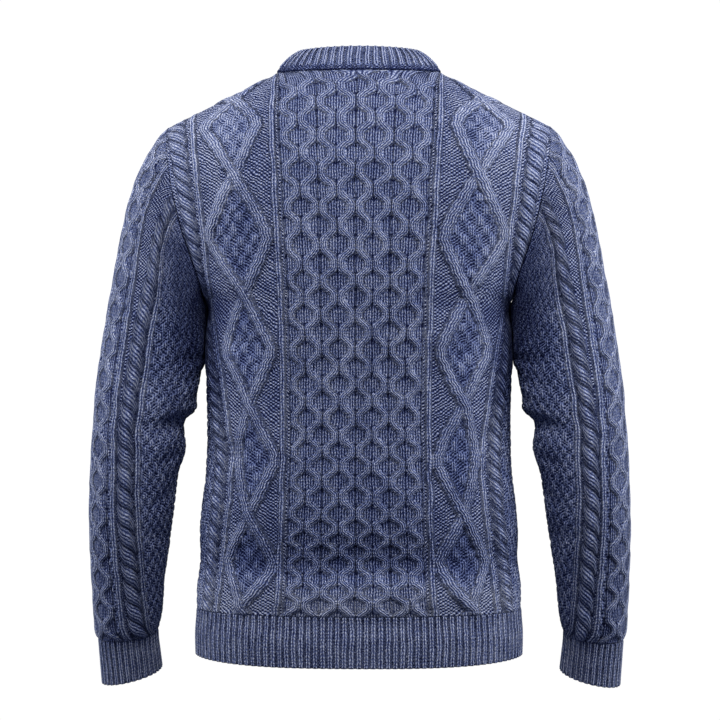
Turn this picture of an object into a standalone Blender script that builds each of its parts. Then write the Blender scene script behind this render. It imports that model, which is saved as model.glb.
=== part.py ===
"""Aran sweater, filled out as it is worn, with nobody in it.

Metres, +Z up.  The front faces -Y, the back +Y, and the wearer's left arm is at +X.
The origin is the middle of the neck opening, level with the high shoulder points,
where shoulder seam and neckband meet.

Nine pieces, as they are knitted and sewn: back, front, two set-in sleeves, neckband,
a welt under the back and one under the front, and two cuffs.  Each is a wall between
an outer and an inner grid of points.  All pieces take their points from the same two
forms, the torso and the sleeve, and stop a seam gap short of each other.
"""

import bmesh
import bpy
import numpy as np

# Fabric
BODY_WALL = 0.0035
RIB_WALL = 0.0042
SEAM_GAP = 0.0003
HALF_GAP = SEAM_GAP / 2

# Neck, shoulders and armholes
NECK_HALF_WIDTH = 0.094
BACK_NECK_DROP = 0.007
FRONT_NECK_DROP = 0.075
SHOULDER_HALF_WIDTH = 0.220
SHOULDER_DROP = 0.0620
SHOULDER_ROUNDING = 0.035
UNDERARM_HALF_WIDTH = 0.174
UNDERARM_HEIGHT = -0.265

# How far out and up the cut edge of the neck faces at the shoulder, the back and the front
NECK_EDGE_SIDE = (0.42, 0.91)
NECK_EDGE_BACK = (0.85, 0.45)
NECK_EDGE_FRONT = (0.93, 0.45)
NECK_DIP_FROM = 0.72        # share of the body's height where the rows start to dip to the neck

# Lower edges
WELT_TOP = -0.6137
HEM_SIDE = -0.6660
HEM_DIP = 0.0045
HEM_DIP_POWER = 4

# How the torso's cross-section is squared, and how its edge at the armhole is opened
SECTION_POWER = 2.35
ARMHOLE_ROOT = 0.55
ARMHOLE_ROOT_FROM = -0.200

# The torso at each height: half its width, and how far the back and the front stand out.
# Above the underarm the width is that of the form the armhole is cut from.
TORSO_COLUMNS = ("height", "half_width", "back", "front")
TORSO = np.array([
    (-0.6720, 0.1875, 0.1170, 0.1190),
    (-0.6400, 0.1880, 0.1180, 0.1200),
    (-0.6180, 0.1865, 0.1160, 0.1185),
    (-0.6020, 0.1868, 0.1195, 0.1220),
    (-0.5760, 0.1872, 0.1235, 0.1260),
    (-0.5370, 0.1845, 0.1165, 0.1215),
    (-0.5000, 0.1815, 0.1175, 0.1220),
    (-0.4600, 0.1765, 0.1165, 0.1225),
    (-0.4000, 0.1750, 0.1145, 0.1240),
    (-0.3420, 0.1760, 0.1160, 0.1275),
    (-0.3000, 0.1750, 0.1195, 0.1310),
    (UNDERARM_HEIGHT, UNDERARM_HALF_WIDTH, 0.1215, 0.1335),
    (-0.2500, 0.1850, 0.1225, 0.1340),
    (-0.2200, 0.2040, 0.1235, 0.1335),
    (-0.1900, 0.2195, 0.1235, 0.1320),
    (-0.1400, 0.2350, 0.1215, 0.1285),
    (-0.0900, 0.2440, 0.1190, 0.1250),
    (+0.0400, 0.2500, 0.1180, 0.1220),
])

# The armhole seam, from the underarm up to the shoulder point
ARMHOLE_COLUMNS = ("height", "half_width")
ARMHOLE = np.array([
    (UNDERARM_HEIGHT, UNDERARM_HALF_WIDTH),
    (-0.250, 0.1775),
    (-0.220, 0.1870),
    (-0.190, 0.1970),
    (-0.140, 0.2095),
    (-0.100, 0.2165),
    (-SHOULDER_DROP, SHOULDER_HALF_WIDTH),
])

# Back (+1) and front (-1): the height where the surface starts to round over towards
# the shoulder seam, the power and the root of that rounding, and the neck's drop.
ROUNDING = {
    +1: {"start": -0.150, "power": 2.2, "root": 0.50, "neck_drop": BACK_NECK_DROP},
    -1: {"start": -0.290, "power": 2.0, "root": 0.74, "neck_drop": FRONT_NECK_DROP},
}

# The left sleeve from armhole to cuff.  Each ring is given by its points nearest to and
# furthest from the torso, half its depth front to back, how far its middle stands towards
# the back, and its lean in degrees as the forearm comes forward.
SLEEVE_COLUMNS = ("inner_x", "inner_z", "outer_x", "outer_z", "half_depth", "back", "lean")
SLEEVE = np.array([
    (UNDERARM_HALF_WIDTH, UNDERARM_HEIGHT, SHOULDER_HALF_WIDTH, -SHOULDER_DROP, 0.0600, +0.000, 0.0),
    (0.1750, -0.2690, 0.2295, -0.0720, 0.0610, +0.000, 0.0),
    (0.1754, -0.2735, 0.2385, -0.0860, 0.0620, +0.000, 0.0),
    (0.1757, -0.2785, 0.2485, -0.1040, 0.0630, +0.000, 0.0),
    (0.1760, -0.2850, 0.2595, -0.1300, 0.0635, +0.001, 0.0),
    (0.1765, -0.2940, 0.2700, -0.1690, 0.0635, +0.001, 0.0),
    (0.1768, -0.3060, 0.2785, -0.2130, 0.0630, +0.002, 0.0),
    (0.1775, -0.3220, 0.2875, -0.2620, 0.0625, +0.002, 0.0),
    (0.1810, -0.3440, 0.2960, -0.3150, 0.0620, +0.003, 0.0),
    (0.1862, -0.3710, 0.3025, -0.3620, 0.0610, +0.004, 0.0),
    (0.1872, -0.3880, 0.3045, -0.3900, 0.0600, +0.004, 0.5),
    (0.2005, -0.4030, 0.3065, -0.4130, 0.0590, +0.004, 1.0),
    (0.1990, -0.4330, 0.3085, -0.4450, 0.0570, +0.003, 2.0),
    (0.2080, -0.4640, 0.3105, -0.4820, 0.0550, +0.000, 4.0),
    (0.2138, -0.5055, 0.3115, -0.5235, 0.0530, -0.006, 7.0),
    (0.2205, -0.5492, 0.3115, -0.5633, 0.0500, -0.015, 9.0),
    (0.2265, -0.5872, 0.3105, -0.5993, 0.0475, -0.023, 10.0),
    (0.2290, -0.6150, 0.3100, -0.6251, 0.0460, -0.029, 10.0),
    (0.2322, -0.6336, 0.3095, -0.6417, 0.0430, -0.033, 10.0),
    (0.2356, -0.6451, 0.3062, -0.6522, 0.0385, -0.036, 10.0),
])
CUFF = np.array([
    (0.2360, -0.6451, 0.3061, -0.6522, 0.0380, -0.0360, 10.0),
    (0.2358, -0.6566, 0.3053, -0.6668, 0.0370, -0.0390, 10.0),
    (0.2341, -0.6733, 0.3042, -0.6865, 0.0367, -0.0425, 10.0),
    (0.2324, -0.6900, 0.3031, -0.7063, 0.0367, -0.0460, 10.0),
])
SLEEVE_SETTLED = 6          # by this ring the armhole's shape has become an oval
OVAL_POWER = 0.88           # under 1, so that the oval is a little fuller than an ellipse

# The neckband: its free edge, and how it curves on the way there
BAND_HALF_WIDTH = 0.066
BAND_BACK = 0.042
BAND_FRONT = -0.064
BAND_BACK_HEIGHT = 0.0235
BAND_SIDE_HEIGHT = 0.0245
BAND_FRONT_HEIGHT = -0.044
BAND_CROWN = 0.0035
BAND_DIP_POWER = 1.4

# Grids
NECK_COLUMNS = 6
SHOULDER_COLUMNS = 8
BODY_ROWS = 10
ARMHOLE_ROWS = 10
WELT_ROWS = 2
BAND_ROWS = 3
DENSE = 160                 # points along a curve before it is spaced evenly
CREASE_ANGLE = 50.0         # degrees: edges sharper than this stay crisp

YARN_COLOUR = (0.125, 0.165, 0.315, 1.0)
RIB_COLOUR = (0.115, 0.150, 0.290, 1.0)


def blend(at, start, end):
    """0 before start, 1 after end, and a smooth rise between them."""
    share = np.clip((at - start) / (end - start), 0.0, 1.0)
    return share * share * (3.0 - 2.0 * share)


def curve_through(knots, values, at):
    """A smooth curve through the values given at the knots, read at the places asked for."""
    slopes = np.gradient(values, knots)
    place = np.clip(np.searchsorted(knots, at) - 1, 0, len(knots) - 2)
    span = knots[place + 1] - knots[place]
    t = np.clip((at - knots[place]) / span, 0.0, 1.0)
    start, end = values[place], values[place + 1]
    rise = 3.0 * t ** 2 - 2.0 * t ** 3
    leave = (t ** 3 - 2.0 * t ** 2 + t) * span * slopes[place]
    arrive = (t ** 3 - t ** 2) * span * slopes[place + 1]
    return start + (end - start) * rise + leave + arrive


def torso_size(name, height):
    """One of the torso's named columns at a height."""
    knots = TORSO[:, TORSO_COLUMNS.index("height")]
    return curve_through(knots, TORSO[:, TORSO_COLUMNS.index(name)], height)


def armhole_half_width(height):
    """Distance of the armhole seam from the centre line."""
    knots = ARMHOLE[:, ARMHOLE_COLUMNS.index("height")]
    return curve_through(knots, ARMHOLE[:, ARMHOLE_COLUMNS.index("half_width")], height)


def shoulder_height(x):
    """The shoulder line, and the form it carries on to inside the neck."""
    def reach(distance):
        return np.sqrt(distance ** 2 + SHOULDER_ROUNDING ** 2)

    slope = SHOULDER_DROP / (reach(SHOULDER_HALF_WIDTH) - reach(NECK_HALF_WIDTH))
    return -slope * (reach(x) - reach(NECK_HALF_WIDTH))


def torso_depth(side, x, z):
    """Distance of the torso's surface from the side seams' plane, towards the back or front."""
    form = ROUNDING[side]
    stands_out = torso_size("back" if side > 0 else "front", z)
    opened = blend(z, UNDERARM_HEIGHT, ARMHOLE_ROOT_FROM)
    root = 1.0 / SECTION_POWER + (ARMHOLE_ROOT - 1.0 / SECTION_POWER) * opened
    across = np.clip(1.0 - (np.abs(x) / torso_size("half_width", z)) ** SECTION_POWER, 0.0, 1.0)
    over = np.clip((z - form["start"]) / (shoulder_height(x) - form["start"]), 0.0, 1.0)
    return stands_out * across ** root * (1.0 - over ** form["power"]) ** form["root"]


def spaced_evenly(points, count):
    """The polyline's points moved to equal steps along it."""
    steps = np.linalg.norm(np.diff(points, axis=0), axis=1)
    travelled = np.concatenate([[0.0], np.cumsum(steps)])
    wanted = np.linspace(0.0, travelled[-1], count + 1)
    return np.stack([np.interp(wanted, travelled, points[:, axis]) for axis in range(3)], axis=1)


def torso_row(side, edge_height):
    """Half a row of the back or front, from the centre line to the side seam or armhole."""
    if edge_height < UNDERARM_HEIGHT:
        edge = torso_size("half_width", edge_height)
    else:
        edge = armhole_half_width(edge_height)
    lift = (edge_height - WELT_TOP) / (-SHOULDER_DROP - WELT_TOP)
    neck_share = NECK_HALF_WIDTH / SHOULDER_HALF_WIDTH
    turn = np.sin(np.linspace(0.0, np.pi / 2, DENSE))
    halves = []
    for start, end, count in ((0.0, neck_share, NECK_COLUMNS), (neck_share, 1.0, SHOULDER_COLUMNS)):
        share = start + (end - start) * turn
        top_x = share * SHOULDER_HALF_WIDTH
        top = shoulder_height(np.maximum(top_x, NECK_HALF_WIDTH))
        inside_neck = np.clip(1.0 - (top_x / NECK_HALF_WIDTH) ** 2, 0.0, 1.0)
        dip = ROUNDING[side]["neck_drop"] * np.sqrt(inside_neck) * blend(lift, NECK_DIP_FROM, 1.0)
        z = WELT_TOP + lift * (top - WELT_TOP) - dip
        x = share * edge
        y = side * torso_depth(side, x, z)
        halves.append(spaced_evenly(np.stack([x, y, z], axis=1), count))
    return np.concatenate([halves[0], halves[1][1:]])


def whole_row(half_row):
    """The half row and its mirror image, from -X to +X."""
    return np.concatenate([half_row[:0:-1] * (-1, 1, 1), half_row])


def armhole_heights():
    """Heights down the armhole seam, evenly spaced as angles about its middle."""
    middle = (UNDERARM_HEIGHT - SHOULDER_DROP) / 2
    reach = (-SHOULDER_DROP - UNDERARM_HEIGHT) / 2
    return middle + reach * np.cos(np.linspace(np.pi, 0.0, ARMHOLE_ROWS + 1))


def normals_of(grid, closed):
    """Unit vectors square to a grid of points; closed grids go round in their second direction."""
    along = np.gradient(grid, axis=0)
    if closed:
        across = np.roll(grid, -1, axis=1) - np.roll(grid, 1, axis=1)
    else:
        across = np.gradient(grid, axis=1)
    normal = np.cross(across, along)
    return normal / np.linalg.norm(normal, axis=2, keepdims=True)


def flattened(vectors, axis):
    """Unit vectors with one component taken out, so that they stay in a seam's plane."""
    flat = vectors.copy()
    flat[..., axis] = 0.0
    return flat / np.linalg.norm(flat, axis=-1, keepdims=True)


def armhole_normals(edge):
    """Directions square to the armhole seam, shared by the body and the sleeve."""
    middle = np.array((0.0, 0.0, (UNDERARM_HEIGHT - SHOULDER_DROP) / 2))
    return flattened(edge - middle, 0)


def neck_normals(edge):
    """Directions square to the neck seam, shared by the body and the neckband."""
    angle = np.arctan2(edge[:, 1], edge[:, 0])
    sideways, lengthways = np.cos(angle), np.sin(angle)
    towards_back = (lengthways > 0)[:, None]
    out, up = np.where(towards_back, NECK_EDGE_BACK, NECK_EDGE_FRONT).T
    both = np.stack([
        np.abs(sideways) * sideways * NECK_EDGE_SIDE[0],
        np.abs(lengthways) * lengthways * out,
        sideways ** 2 * NECK_EDGE_SIDE[1] + lengthways ** 2 * up,
    ], axis=1)
    return both / np.linalg.norm(both, axis=1, keepdims=True)


def wall_mesh(outer, inner, closed):
    """Points and faces of the closed wall between two grids."""
    rows, columns = outer.shape[:2]
    points = np.concatenate([outer.reshape(-1, 3), inner.reshape(-1, 3)])

    def corner(layer, row, column):
        return layer * rows * columns + row * columns + column % columns

    def edge_faces(start, end):
        """The strip across the wall's edge, split along its shorter diagonal."""
        near, far = corner(0, *start), corner(0, *end)
        near_in, far_in = corner(1, *start), corner(1, *end)
        one = np.linalg.norm(points[near] - points[far_in])
        other = np.linalg.norm(points[far] - points[near_in])
        if one < other:
            return [(near, far, far_in), (near, far_in, near_in)]
        return [(near, far, near_in), (far, far_in, near_in)]

    faces = []
    steps = columns if closed else columns - 1
    for row in range(rows - 1):
        for column in range(steps):
            around = ((row, column), (row, column + 1), (row + 1, column + 1), (row + 1, column))
            faces.append([corner(0, *at) for at in around])
            faces.append([corner(1, *at) for at in reversed(around)])
    for column in range(steps):
        faces += edge_faces((0, column), (0, column + 1))
        faces += edge_faces((rows - 1, column), (rows - 1, column + 1))
    if not closed:
        for row in range(rows - 1):
            faces += edge_faces((row, 0), (row + 1, 0))
            faces += edge_faces((row, columns - 1), (row + 1, columns - 1))
    return points, faces


def knit_material(name, colour):
    """Wool yarn, dry and dull."""
    material = bpy.data.materials.new(name)
    material.use_nodes = True
    shader = material.node_tree.nodes["Principled BSDF"]
    shader.inputs["Base Color"].default_value = colour
    shader.inputs["Roughness"].default_value = 0.95
    shader.inputs["Metallic"].default_value = 0.0
    return material


def add_piece(name, outer, inner, closed, colour):
    """One knitted piece as its own object, smooth on its faces and crisp at its edges."""
    points, faces = wall_mesh(outer, inner, closed)
    mesh = bpy.data.meshes.new(name)
    mesh.from_pydata(points.tolist(), [], faces)
    shell = bmesh.new()
    shell.from_mesh(mesh)
    bmesh.ops.recalc_face_normals(shell, faces=shell.faces)
    shell.to_mesh(mesh)
    shell.free()
    mesh.shade_smooth()
    mesh.set_sharp_from_angle(angle=np.radians(CREASE_ANGLE))
    piece = bpy.data.objects.new(name, mesh)
    piece.data.materials.append(knit_material(name + "_wool", colour))
    bpy.context.scene.collection.objects.link(piece)


def torso_panel(side):
    """Outer and inner grids of the back (+1) or front (-1), welt seam to shoulder seam."""
    body = np.linspace(WELT_TOP, UNDERARM_HEIGHT, BODY_ROWS + 1)
    heights = np.concatenate([body[:-1], armhole_heights()])
    outer = np.array([whole_row(torso_row(side, height)) for height in heights])
    outward = normals_of(outer, closed=False) * -side
    outward[:, 0] = flattened(outward[:, 0], 1)
    outward[:, -1] = flattened(outward[:, -1], 1)
    outward[0] = flattened(outward[0], 2)
    shoulders = np.abs(outer[-1, :, 0]) > NECK_HALF_WIDTH - SEAM_GAP
    outward[-1, shoulders] = flattened(outward[-1, shoulders], 1)
    outward[-1, ~shoulders] = neck_normals(outer[-1, ~shoulders])
    for column in (0, -1):
        outward[BODY_ROWS:, column] = armhole_normals(outer[BODY_ROWS:, column])
    inner = outer - BODY_WALL * outward
    for grid in (outer, inner):
        grid[..., 1] += side * HALF_GAP
        grid[0, :, 2] += HALF_GAP
        grid[BODY_ROWS:, 0, 0] += HALF_GAP
        grid[BODY_ROWS:, -1, 0] -= HALF_GAP
        grid[-1, ~shoulders, 2] -= HALF_GAP
    return outer, inner


def add_body():
    """Back and front."""
    for side, name in ((+1, "back"), (-1, "front")):
        outer, inner = torso_panel(side)
        add_piece(name, outer, inner, False, YARN_COLOUR)


def add_welts():
    """Ribbed welts: the torso's form carried on down to the hem."""
    for side, name in ((+1, "welt_back"), (-1, "welt_front")):
        top = whole_row(torso_row(side, WELT_TOP))
        rows = []
        for share in np.linspace(0.0, 1.0, WELT_ROWS + 1):
            x = top[:, 0]
            hem = HEM_SIDE - HEM_DIP * (1.0 - (x / x.max()) ** HEM_DIP_POWER)
            z = hem + share * (WELT_TOP - hem)
            wide = torso_size("half_width", z) / torso_size("half_width", WELT_TOP)
            depth_column = "back" if side > 0 else "front"
            deep = torso_size(depth_column, z) / torso_size(depth_column, WELT_TOP)
            rows.append(np.stack([x * wide, top[:, 1] * deep, z], axis=1))
        outer = np.array(rows)
        outward = flattened(normals_of(outer, closed=False) * -side, 2)
        outward[:, 0] = flattened(outward[:, 0], 1)
        outward[:, -1] = flattened(outward[:, -1], 1)
        inner = outer - RIB_WALL * outward
        for grid in (outer, inner):
            grid[..., 1] += side * HALF_GAP
            grid[-1, :, 2] -= HALF_GAP
        add_piece(name, outer, inner, False, RIB_COLOUR)


def add_neckband():
    """Ribbed neckband, from the neck's edge in to its own free edge."""
    back_outer, back_inner = torso_panel(+1)
    front_outer, front_inner = torso_panel(-1)
    neck = slice(SHOULDER_COLUMNS, SHOULDER_COLUMNS + 2 * NECK_COLUMNS + 1)
    base_outer = np.concatenate([back_outer[-1, neck], front_outer[-1, neck][-2:0:-1]])
    base_inner = np.concatenate([back_inner[-1, neck], front_inner[-1, neck][-2:0:-1]])
    angle = np.arctan2(base_outer[:, 1], base_outer[:, 0])
    reach_back = np.where(np.sin(angle) > 0, BAND_BACK, -BAND_FRONT)
    end_height = np.where(np.sin(angle) > 0, BAND_BACK_HEIGHT, BAND_FRONT_HEIGHT)
    towards_side = 1.0 - np.abs(np.sin(angle)) ** BAND_DIP_POWER
    free = np.stack([BAND_HALF_WIDTH * np.cos(angle), reach_back * np.sin(angle),
                     end_height + (BAND_SIDE_HEIGHT - end_height) * towards_side], axis=1)
    outer_rows = []
    for share in np.linspace(0.0, 1.0, BAND_ROWS + 1):
        row = base_outer + (free - base_outer) * share
        row[:, 2] += BAND_CROWN * np.sin(np.pi * share)
        outer_rows.append(row)
    outer = np.array(outer_rows)
    towards_free = (free - base_outer) / np.linalg.norm(free - base_outer, axis=1, keepdims=True)
    outer[0] += SEAM_GAP * towards_free
    outward = normals_of(outer, closed=True)
    if np.einsum("ij,ij->", outward[-1], free) < 0:
        outward = -outward
    inner = outer - RIB_WALL * outward
    inner[0] = base_inner + SEAM_GAP * towards_free
    add_piece("neckband", outer, inner, True, RIB_COLOUR)


def sleeve_ring(row, armhole_share):
    """Points round one row of the sleeve table, from the outer line towards the back."""
    value = dict(zip(SLEEVE_COLUMNS, row))
    angle = np.linspace(0.0, 2.0 * np.pi, 2 * ARMHOLE_ROWS, endpoint=False)
    inner = np.array((value["inner_x"], 0.0, value["inner_z"]))
    outer = np.array((value["outer_x"], 0.0, value["outer_z"]))
    middle, reach = (outer + inner) / 2, (outer - inner) / 2
    oval = value["half_depth"] * np.sign(np.sin(angle)) * np.abs(np.sin(angle)) ** OVAL_POWER
    seam_height = (UNDERARM_HEIGHT - SHOULDER_DROP) / 2
    seam_height = seam_height + (-SHOULDER_DROP - UNDERARM_HEIGHT) / 2 * np.cos(angle)
    seam_x = armhole_half_width(seam_height)
    seam_depth = np.where(np.sin(angle) > 0, torso_depth(+1, seam_x, seam_height),
                          -torso_depth(-1, seam_x, seam_height))
    depth = oval + (seam_depth - oval) * armhole_share
    lean = np.radians(value["lean"])
    points = middle + np.outer(np.cos(angle), reach)
    up_the_armhole = (1.0 + np.cos(angle)) / 2
    straight_x = UNDERARM_HALF_WIDTH + (SHOULDER_HALF_WIDTH - UNDERARM_HALF_WIDTH) * up_the_armhole
    points[:, 0] += (seam_x - straight_x) * armhole_share
    points[:, 1] += value["back"] + depth * np.cos(lean)
    points[:, 2] -= depth * np.sin(lean)
    return points


def tube_grid(table, settled_from=None):
    """Rings for every row of a table; the first ones take the armhole's shape if asked."""
    rings = []
    for number, row in enumerate(table):
        share = 1.0 - blend(number, 0, settled_from) if settled_from else 0.0
        rings.append(sleeve_ring(row, share))
    return np.array(rings)


def add_tube(name, outer, wall, start_outward, colour, mirrored):
    """A sleeve or cuff; both ends are pulled back from their seams."""
    outward = normals_of(outer, closed=True)
    middle = outer.mean(axis=1, keepdims=True)
    if np.einsum("ijk,ijk->", outward, outer - middle) < 0:
        outward = -outward
    if start_outward is not None:
        outward[0] = start_outward
    inner = outer - wall * outward
    for grid in (outer, inner):
        if start_outward is not None:
            grid[0, :, 0] += HALF_GAP
            grid[-1, :, 2] += HALF_GAP
        else:
            grid[0, :, 2] -= HALF_GAP
        if mirrored:
            grid[..., 0] *= -1.0
    add_piece(name, outer, inner, True, colour)


def add_sleeves():
    """Set-in sleeves, hanging from the armholes down to the cuffs."""
    for name, mirrored in (("sleeve_left", False), ("sleeve_right", True)):
        outer = tube_grid(SLEEVE, SLEEVE_SETTLED)
        seam_outward = armhole_normals(outer[0])
        add_tube(name, outer, BODY_WALL, seam_outward, YARN_COLOUR, mirrored)


def add_cuffs():
    """Ribbed cuffs below the sleeves."""
    for name, mirrored in (("cuff_left", False), ("cuff_right", True)):
        add_tube(name, tube_grid(CUFF), RIB_WALL, None, RIB_COLOUR, mirrored)


def main():
    for leftover in list(bpy.data.objects):
        bpy.data.objects.remove(leftover)
    add_body()
    add_welts()
    add_neckband()
    add_sleeves()
    add_cuffs()


main()
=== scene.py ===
import bpy
import numpy as np
from bpy.props import FloatProperty, FloatVectorProperty, PointerProperty
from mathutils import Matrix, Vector


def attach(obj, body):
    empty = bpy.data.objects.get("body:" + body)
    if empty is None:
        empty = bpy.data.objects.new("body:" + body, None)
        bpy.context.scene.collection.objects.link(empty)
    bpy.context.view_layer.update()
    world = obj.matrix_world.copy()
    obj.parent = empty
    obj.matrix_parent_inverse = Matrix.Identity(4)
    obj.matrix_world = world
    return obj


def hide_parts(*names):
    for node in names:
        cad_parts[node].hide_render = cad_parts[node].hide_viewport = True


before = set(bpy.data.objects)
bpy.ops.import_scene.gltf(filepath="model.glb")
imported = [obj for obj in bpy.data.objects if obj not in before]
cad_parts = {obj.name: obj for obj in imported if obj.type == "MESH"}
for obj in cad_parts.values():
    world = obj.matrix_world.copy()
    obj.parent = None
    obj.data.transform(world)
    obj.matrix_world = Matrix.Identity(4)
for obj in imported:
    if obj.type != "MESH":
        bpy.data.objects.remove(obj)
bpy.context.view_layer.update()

bl_info = {
    "name": "Aran Sweater",
    "version": (1, 0, 0),
    "blender": (4, 5, 0),
    "location": "3D Viewport > Sidebar > Knitwear",
    "description": "Knits the cables, ribs and yarn of an aran sweater on to its plain form",
    "category": "Object",
}

# ---- The garment's form, in metres: +Z up, the back at +Y, the wearer's left arm at +X ----

SEAM_GAP = 0.0003
HALF_GAP = SEAM_GAP / 2

NECK_HALF_WIDTH = 0.094
SHOULDER_HALF_WIDTH = 0.220
SHOULDER_DROP = 0.0620
SHOULDER_ROUNDING = 0.035
UNDERARM_HALF_WIDTH = 0.174
UNDERARM_HEIGHT = -0.265
NECK_DIP_FROM = 0.72

WELT_TOP = -0.6137
HEM_SIDE = -0.6660
HEM_DIP = 0.0045
HEM_DIP_POWER = 4

SECTION_POWER = 2.35
ARMHOLE_ROOT = 0.55
ARMHOLE_ROOT_FROM = -0.200

# Half the torso's width at each height, and how far its back and front stand out
TORSO_COLUMNS = ("height", "half_width", "back", "front")
TORSO = np.array([
    (-0.6720, 0.1875, 0.1170, 0.1190),
    (-0.6400, 0.1880, 0.1180, 0.1200),
    (-0.6180, 0.1865, 0.1160, 0.1185),
    (-0.6020, 0.1868, 0.1195, 0.1220),
    (-0.5760, 0.1872, 0.1235, 0.1260),
    (-0.5370, 0.1845, 0.1165, 0.1215),
    (-0.5000, 0.1815, 0.1175, 0.1220),
    (-0.4600, 0.1765, 0.1165, 0.1225),
    (-0.4000, 0.1750, 0.1145, 0.1240),
    (-0.3420, 0.1760, 0.1160, 0.1275),
    (-0.3000, 0.1750, 0.1195, 0.1310),
    (UNDERARM_HEIGHT, UNDERARM_HALF_WIDTH, 0.1215, 0.1335),
    (-0.2500, 0.1850, 0.1225, 0.1340),
    (-0.2200, 0.2040, 0.1235, 0.1335),
    (-0.1900, 0.2195, 0.1235, 0.1320),
    (-0.1400, 0.2350, 0.1215, 0.1285),
    (-0.0900, 0.2440, 0.1190, 0.1250),
    (+0.0400, 0.2500, 0.1180, 0.1220),
])

# The armhole seam: height, and distance from the centre line
ARMHOLE = np.array([
    (UNDERARM_HEIGHT, UNDERARM_HALF_WIDTH),
    (-0.250, 0.1775),
    (-0.220, 0.1870),
    (-0.190, 0.1970),
    (-0.140, 0.2095),
    (-0.100, 0.2165),
    (-SHOULDER_DROP, SHOULDER_HALF_WIDTH),
])

# How the back (+1) and the front (-1) round over to the shoulders, and how deep the neck is cut
ROUNDING = {
    +1: {"start": -0.150, "power": 2.2, "root": 0.50, "neck_drop": 0.0048},
    -1: {"start": -0.290, "power": 2.0, "root": 0.74, "neck_drop": 0.075},
}

# Rings of the sleeve from the shoulder down, and of the cuff: where the innermost and outermost
# points lie, the half-depth, how far the ring's middle lies back, and its lean in degrees
SLEEVE_COLUMNS = ("inner_x", "inner_z", "outer_x", "outer_z", "half_depth", "back", "lean")
SLEEVE = np.array([
    (UNDERARM_HALF_WIDTH, UNDERARM_HEIGHT, SHOULDER_HALF_WIDTH, -SHOULDER_DROP, 0.0600, +0.000, 0.0),
    (0.1750, -0.2690, 0.2295, -0.0720, 0.0610, +0.000, 0.0),
    (0.1754, -0.2735, 0.2385, -0.0860, 0.0620, +0.000, 0.0),
    (0.1757, -0.2785, 0.2485, -0.1040, 0.0630, +0.000, 0.0),
    (0.1760, -0.2850, 0.2595, -0.1300, 0.0635, +0.001, 0.0),
    (0.1765, -0.2940, 0.2700, -0.1690, 0.0635, +0.001, 0.0),
    (0.1768, -0.3060, 0.2785, -0.2130, 0.0630, +0.002, 0.0),
    (0.1775, -0.3220, 0.2875, -0.2620, 0.0625, +0.002, 0.0),
    (0.1810, -0.3440, 0.2960, -0.3150, 0.0620, +0.003, 0.0),
    (0.1862, -0.3710, 0.3025, -0.3620, 0.0610, +0.004, 0.0),
    (0.1872, -0.3880, 0.3045, -0.3900, 0.0600, +0.004, 0.5),
    (0.2005, -0.4030, 0.3065, -0.4130, 0.0590, +0.004, 1.0),
    (0.1990, -0.4330, 0.3085, -0.4450, 0.0570, +0.003, 2.0),
    (0.2080, -0.4640, 0.3105, -0.4820, 0.0550, +0.000, 4.0),
    (0.2138, -0.5055, 0.3115, -0.5235, 0.0530, -0.006, 7.0),
    (0.2205, -0.5492, 0.3115, -0.5633, 0.0500, -0.015, 9.0),
    (0.2265, -0.5872, 0.3105, -0.5993, 0.0475, -0.023, 10.0),
    (0.2290, -0.6150, 0.3100, -0.6251, 0.0460, -0.029, 10.0),
    (0.2322, -0.6336, 0.3095, -0.6417, 0.0430, -0.033, 10.0),
    (0.2356, -0.6451, 0.3062, -0.6522, 0.0385, -0.036, 10.0),
])
CUFF = np.array([
    (0.2360, -0.6451, 0.3061, -0.6522, 0.0380, -0.0360, 10.0),
    (0.2358, -0.6566, 0.3053, -0.6668, 0.0370, -0.0390, 10.0),
    (0.2341, -0.6733, 0.3042, -0.6865, 0.0367, -0.0425, 10.0),
    (0.2324, -0.6900, 0.3031, -0.7063, 0.0367, -0.0460, 10.0),
])
SLEEVE_SETTLED = 6
OVAL_POWER = 0.88

BAND_HALF_WIDTH = 0.066
BAND_BACK = 0.042
BAND_FRONT = -0.064
BAND_BACK_HEIGHT = 0.0258
BAND_SIDE_HEIGHT = 0.0245
BAND_FRONT_HEIGHT = -0.044
BAND_CROWN = 0.0035
BAND_DIP_POWER = 1.4

# ---- The knitting pattern ----

# Distance of each line of the pattern from the centre line of the back or front, by height
INNER_RIDGE = ((-0.620, 0.0895), (-0.607, 0.0883), (-0.585, 0.0862), (-0.530, 0.0840),
               (-0.486, 0.0825), (-0.400, 0.0807), (-0.315, 0.0820), (-0.276, 0.0833),
               (-0.238, 0.0845), (-0.172, 0.0880), (-0.155, 0.0888), (-0.100, 0.0920),
               (-0.064, 0.0943), (-0.020, 0.0945))
OUTER_RIDGE = ((-0.620, 0.1590), (-0.594, 0.1563), (-0.555, 0.1515), (-0.532, 0.1490),
               (-0.476, 0.1425), (-0.432, 0.1410), (-0.387, 0.1475), (-0.359, 0.1514),
               (-0.331, 0.1551), (-0.300, 0.1600), (-0.252, 0.1665), (-0.221, 0.1705),
               (-0.191, 0.1724), (-0.141, 0.1785), (-0.095, 0.1835), (-0.054, 0.1893))
CROSSINGS = ((-0.606, 0.1300), (-0.502, 0.1208), (-0.379, 0.1207), (-0.258, 0.1249),
             (-0.123, 0.1363), (-0.034, 0.1409))
OUTER_BENDS = ((-0.556, 0.1442), (-0.445, 0.1331), (-0.322, 0.1476), (-0.197, 0.1648),
               (-0.072, 0.1721))
INNER_BENDS = ((-0.553, 0.0930), (-0.434, 0.0912), (-0.318, 0.0948), (-0.189, 0.0986),
               (-0.059, 0.1130))

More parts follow.
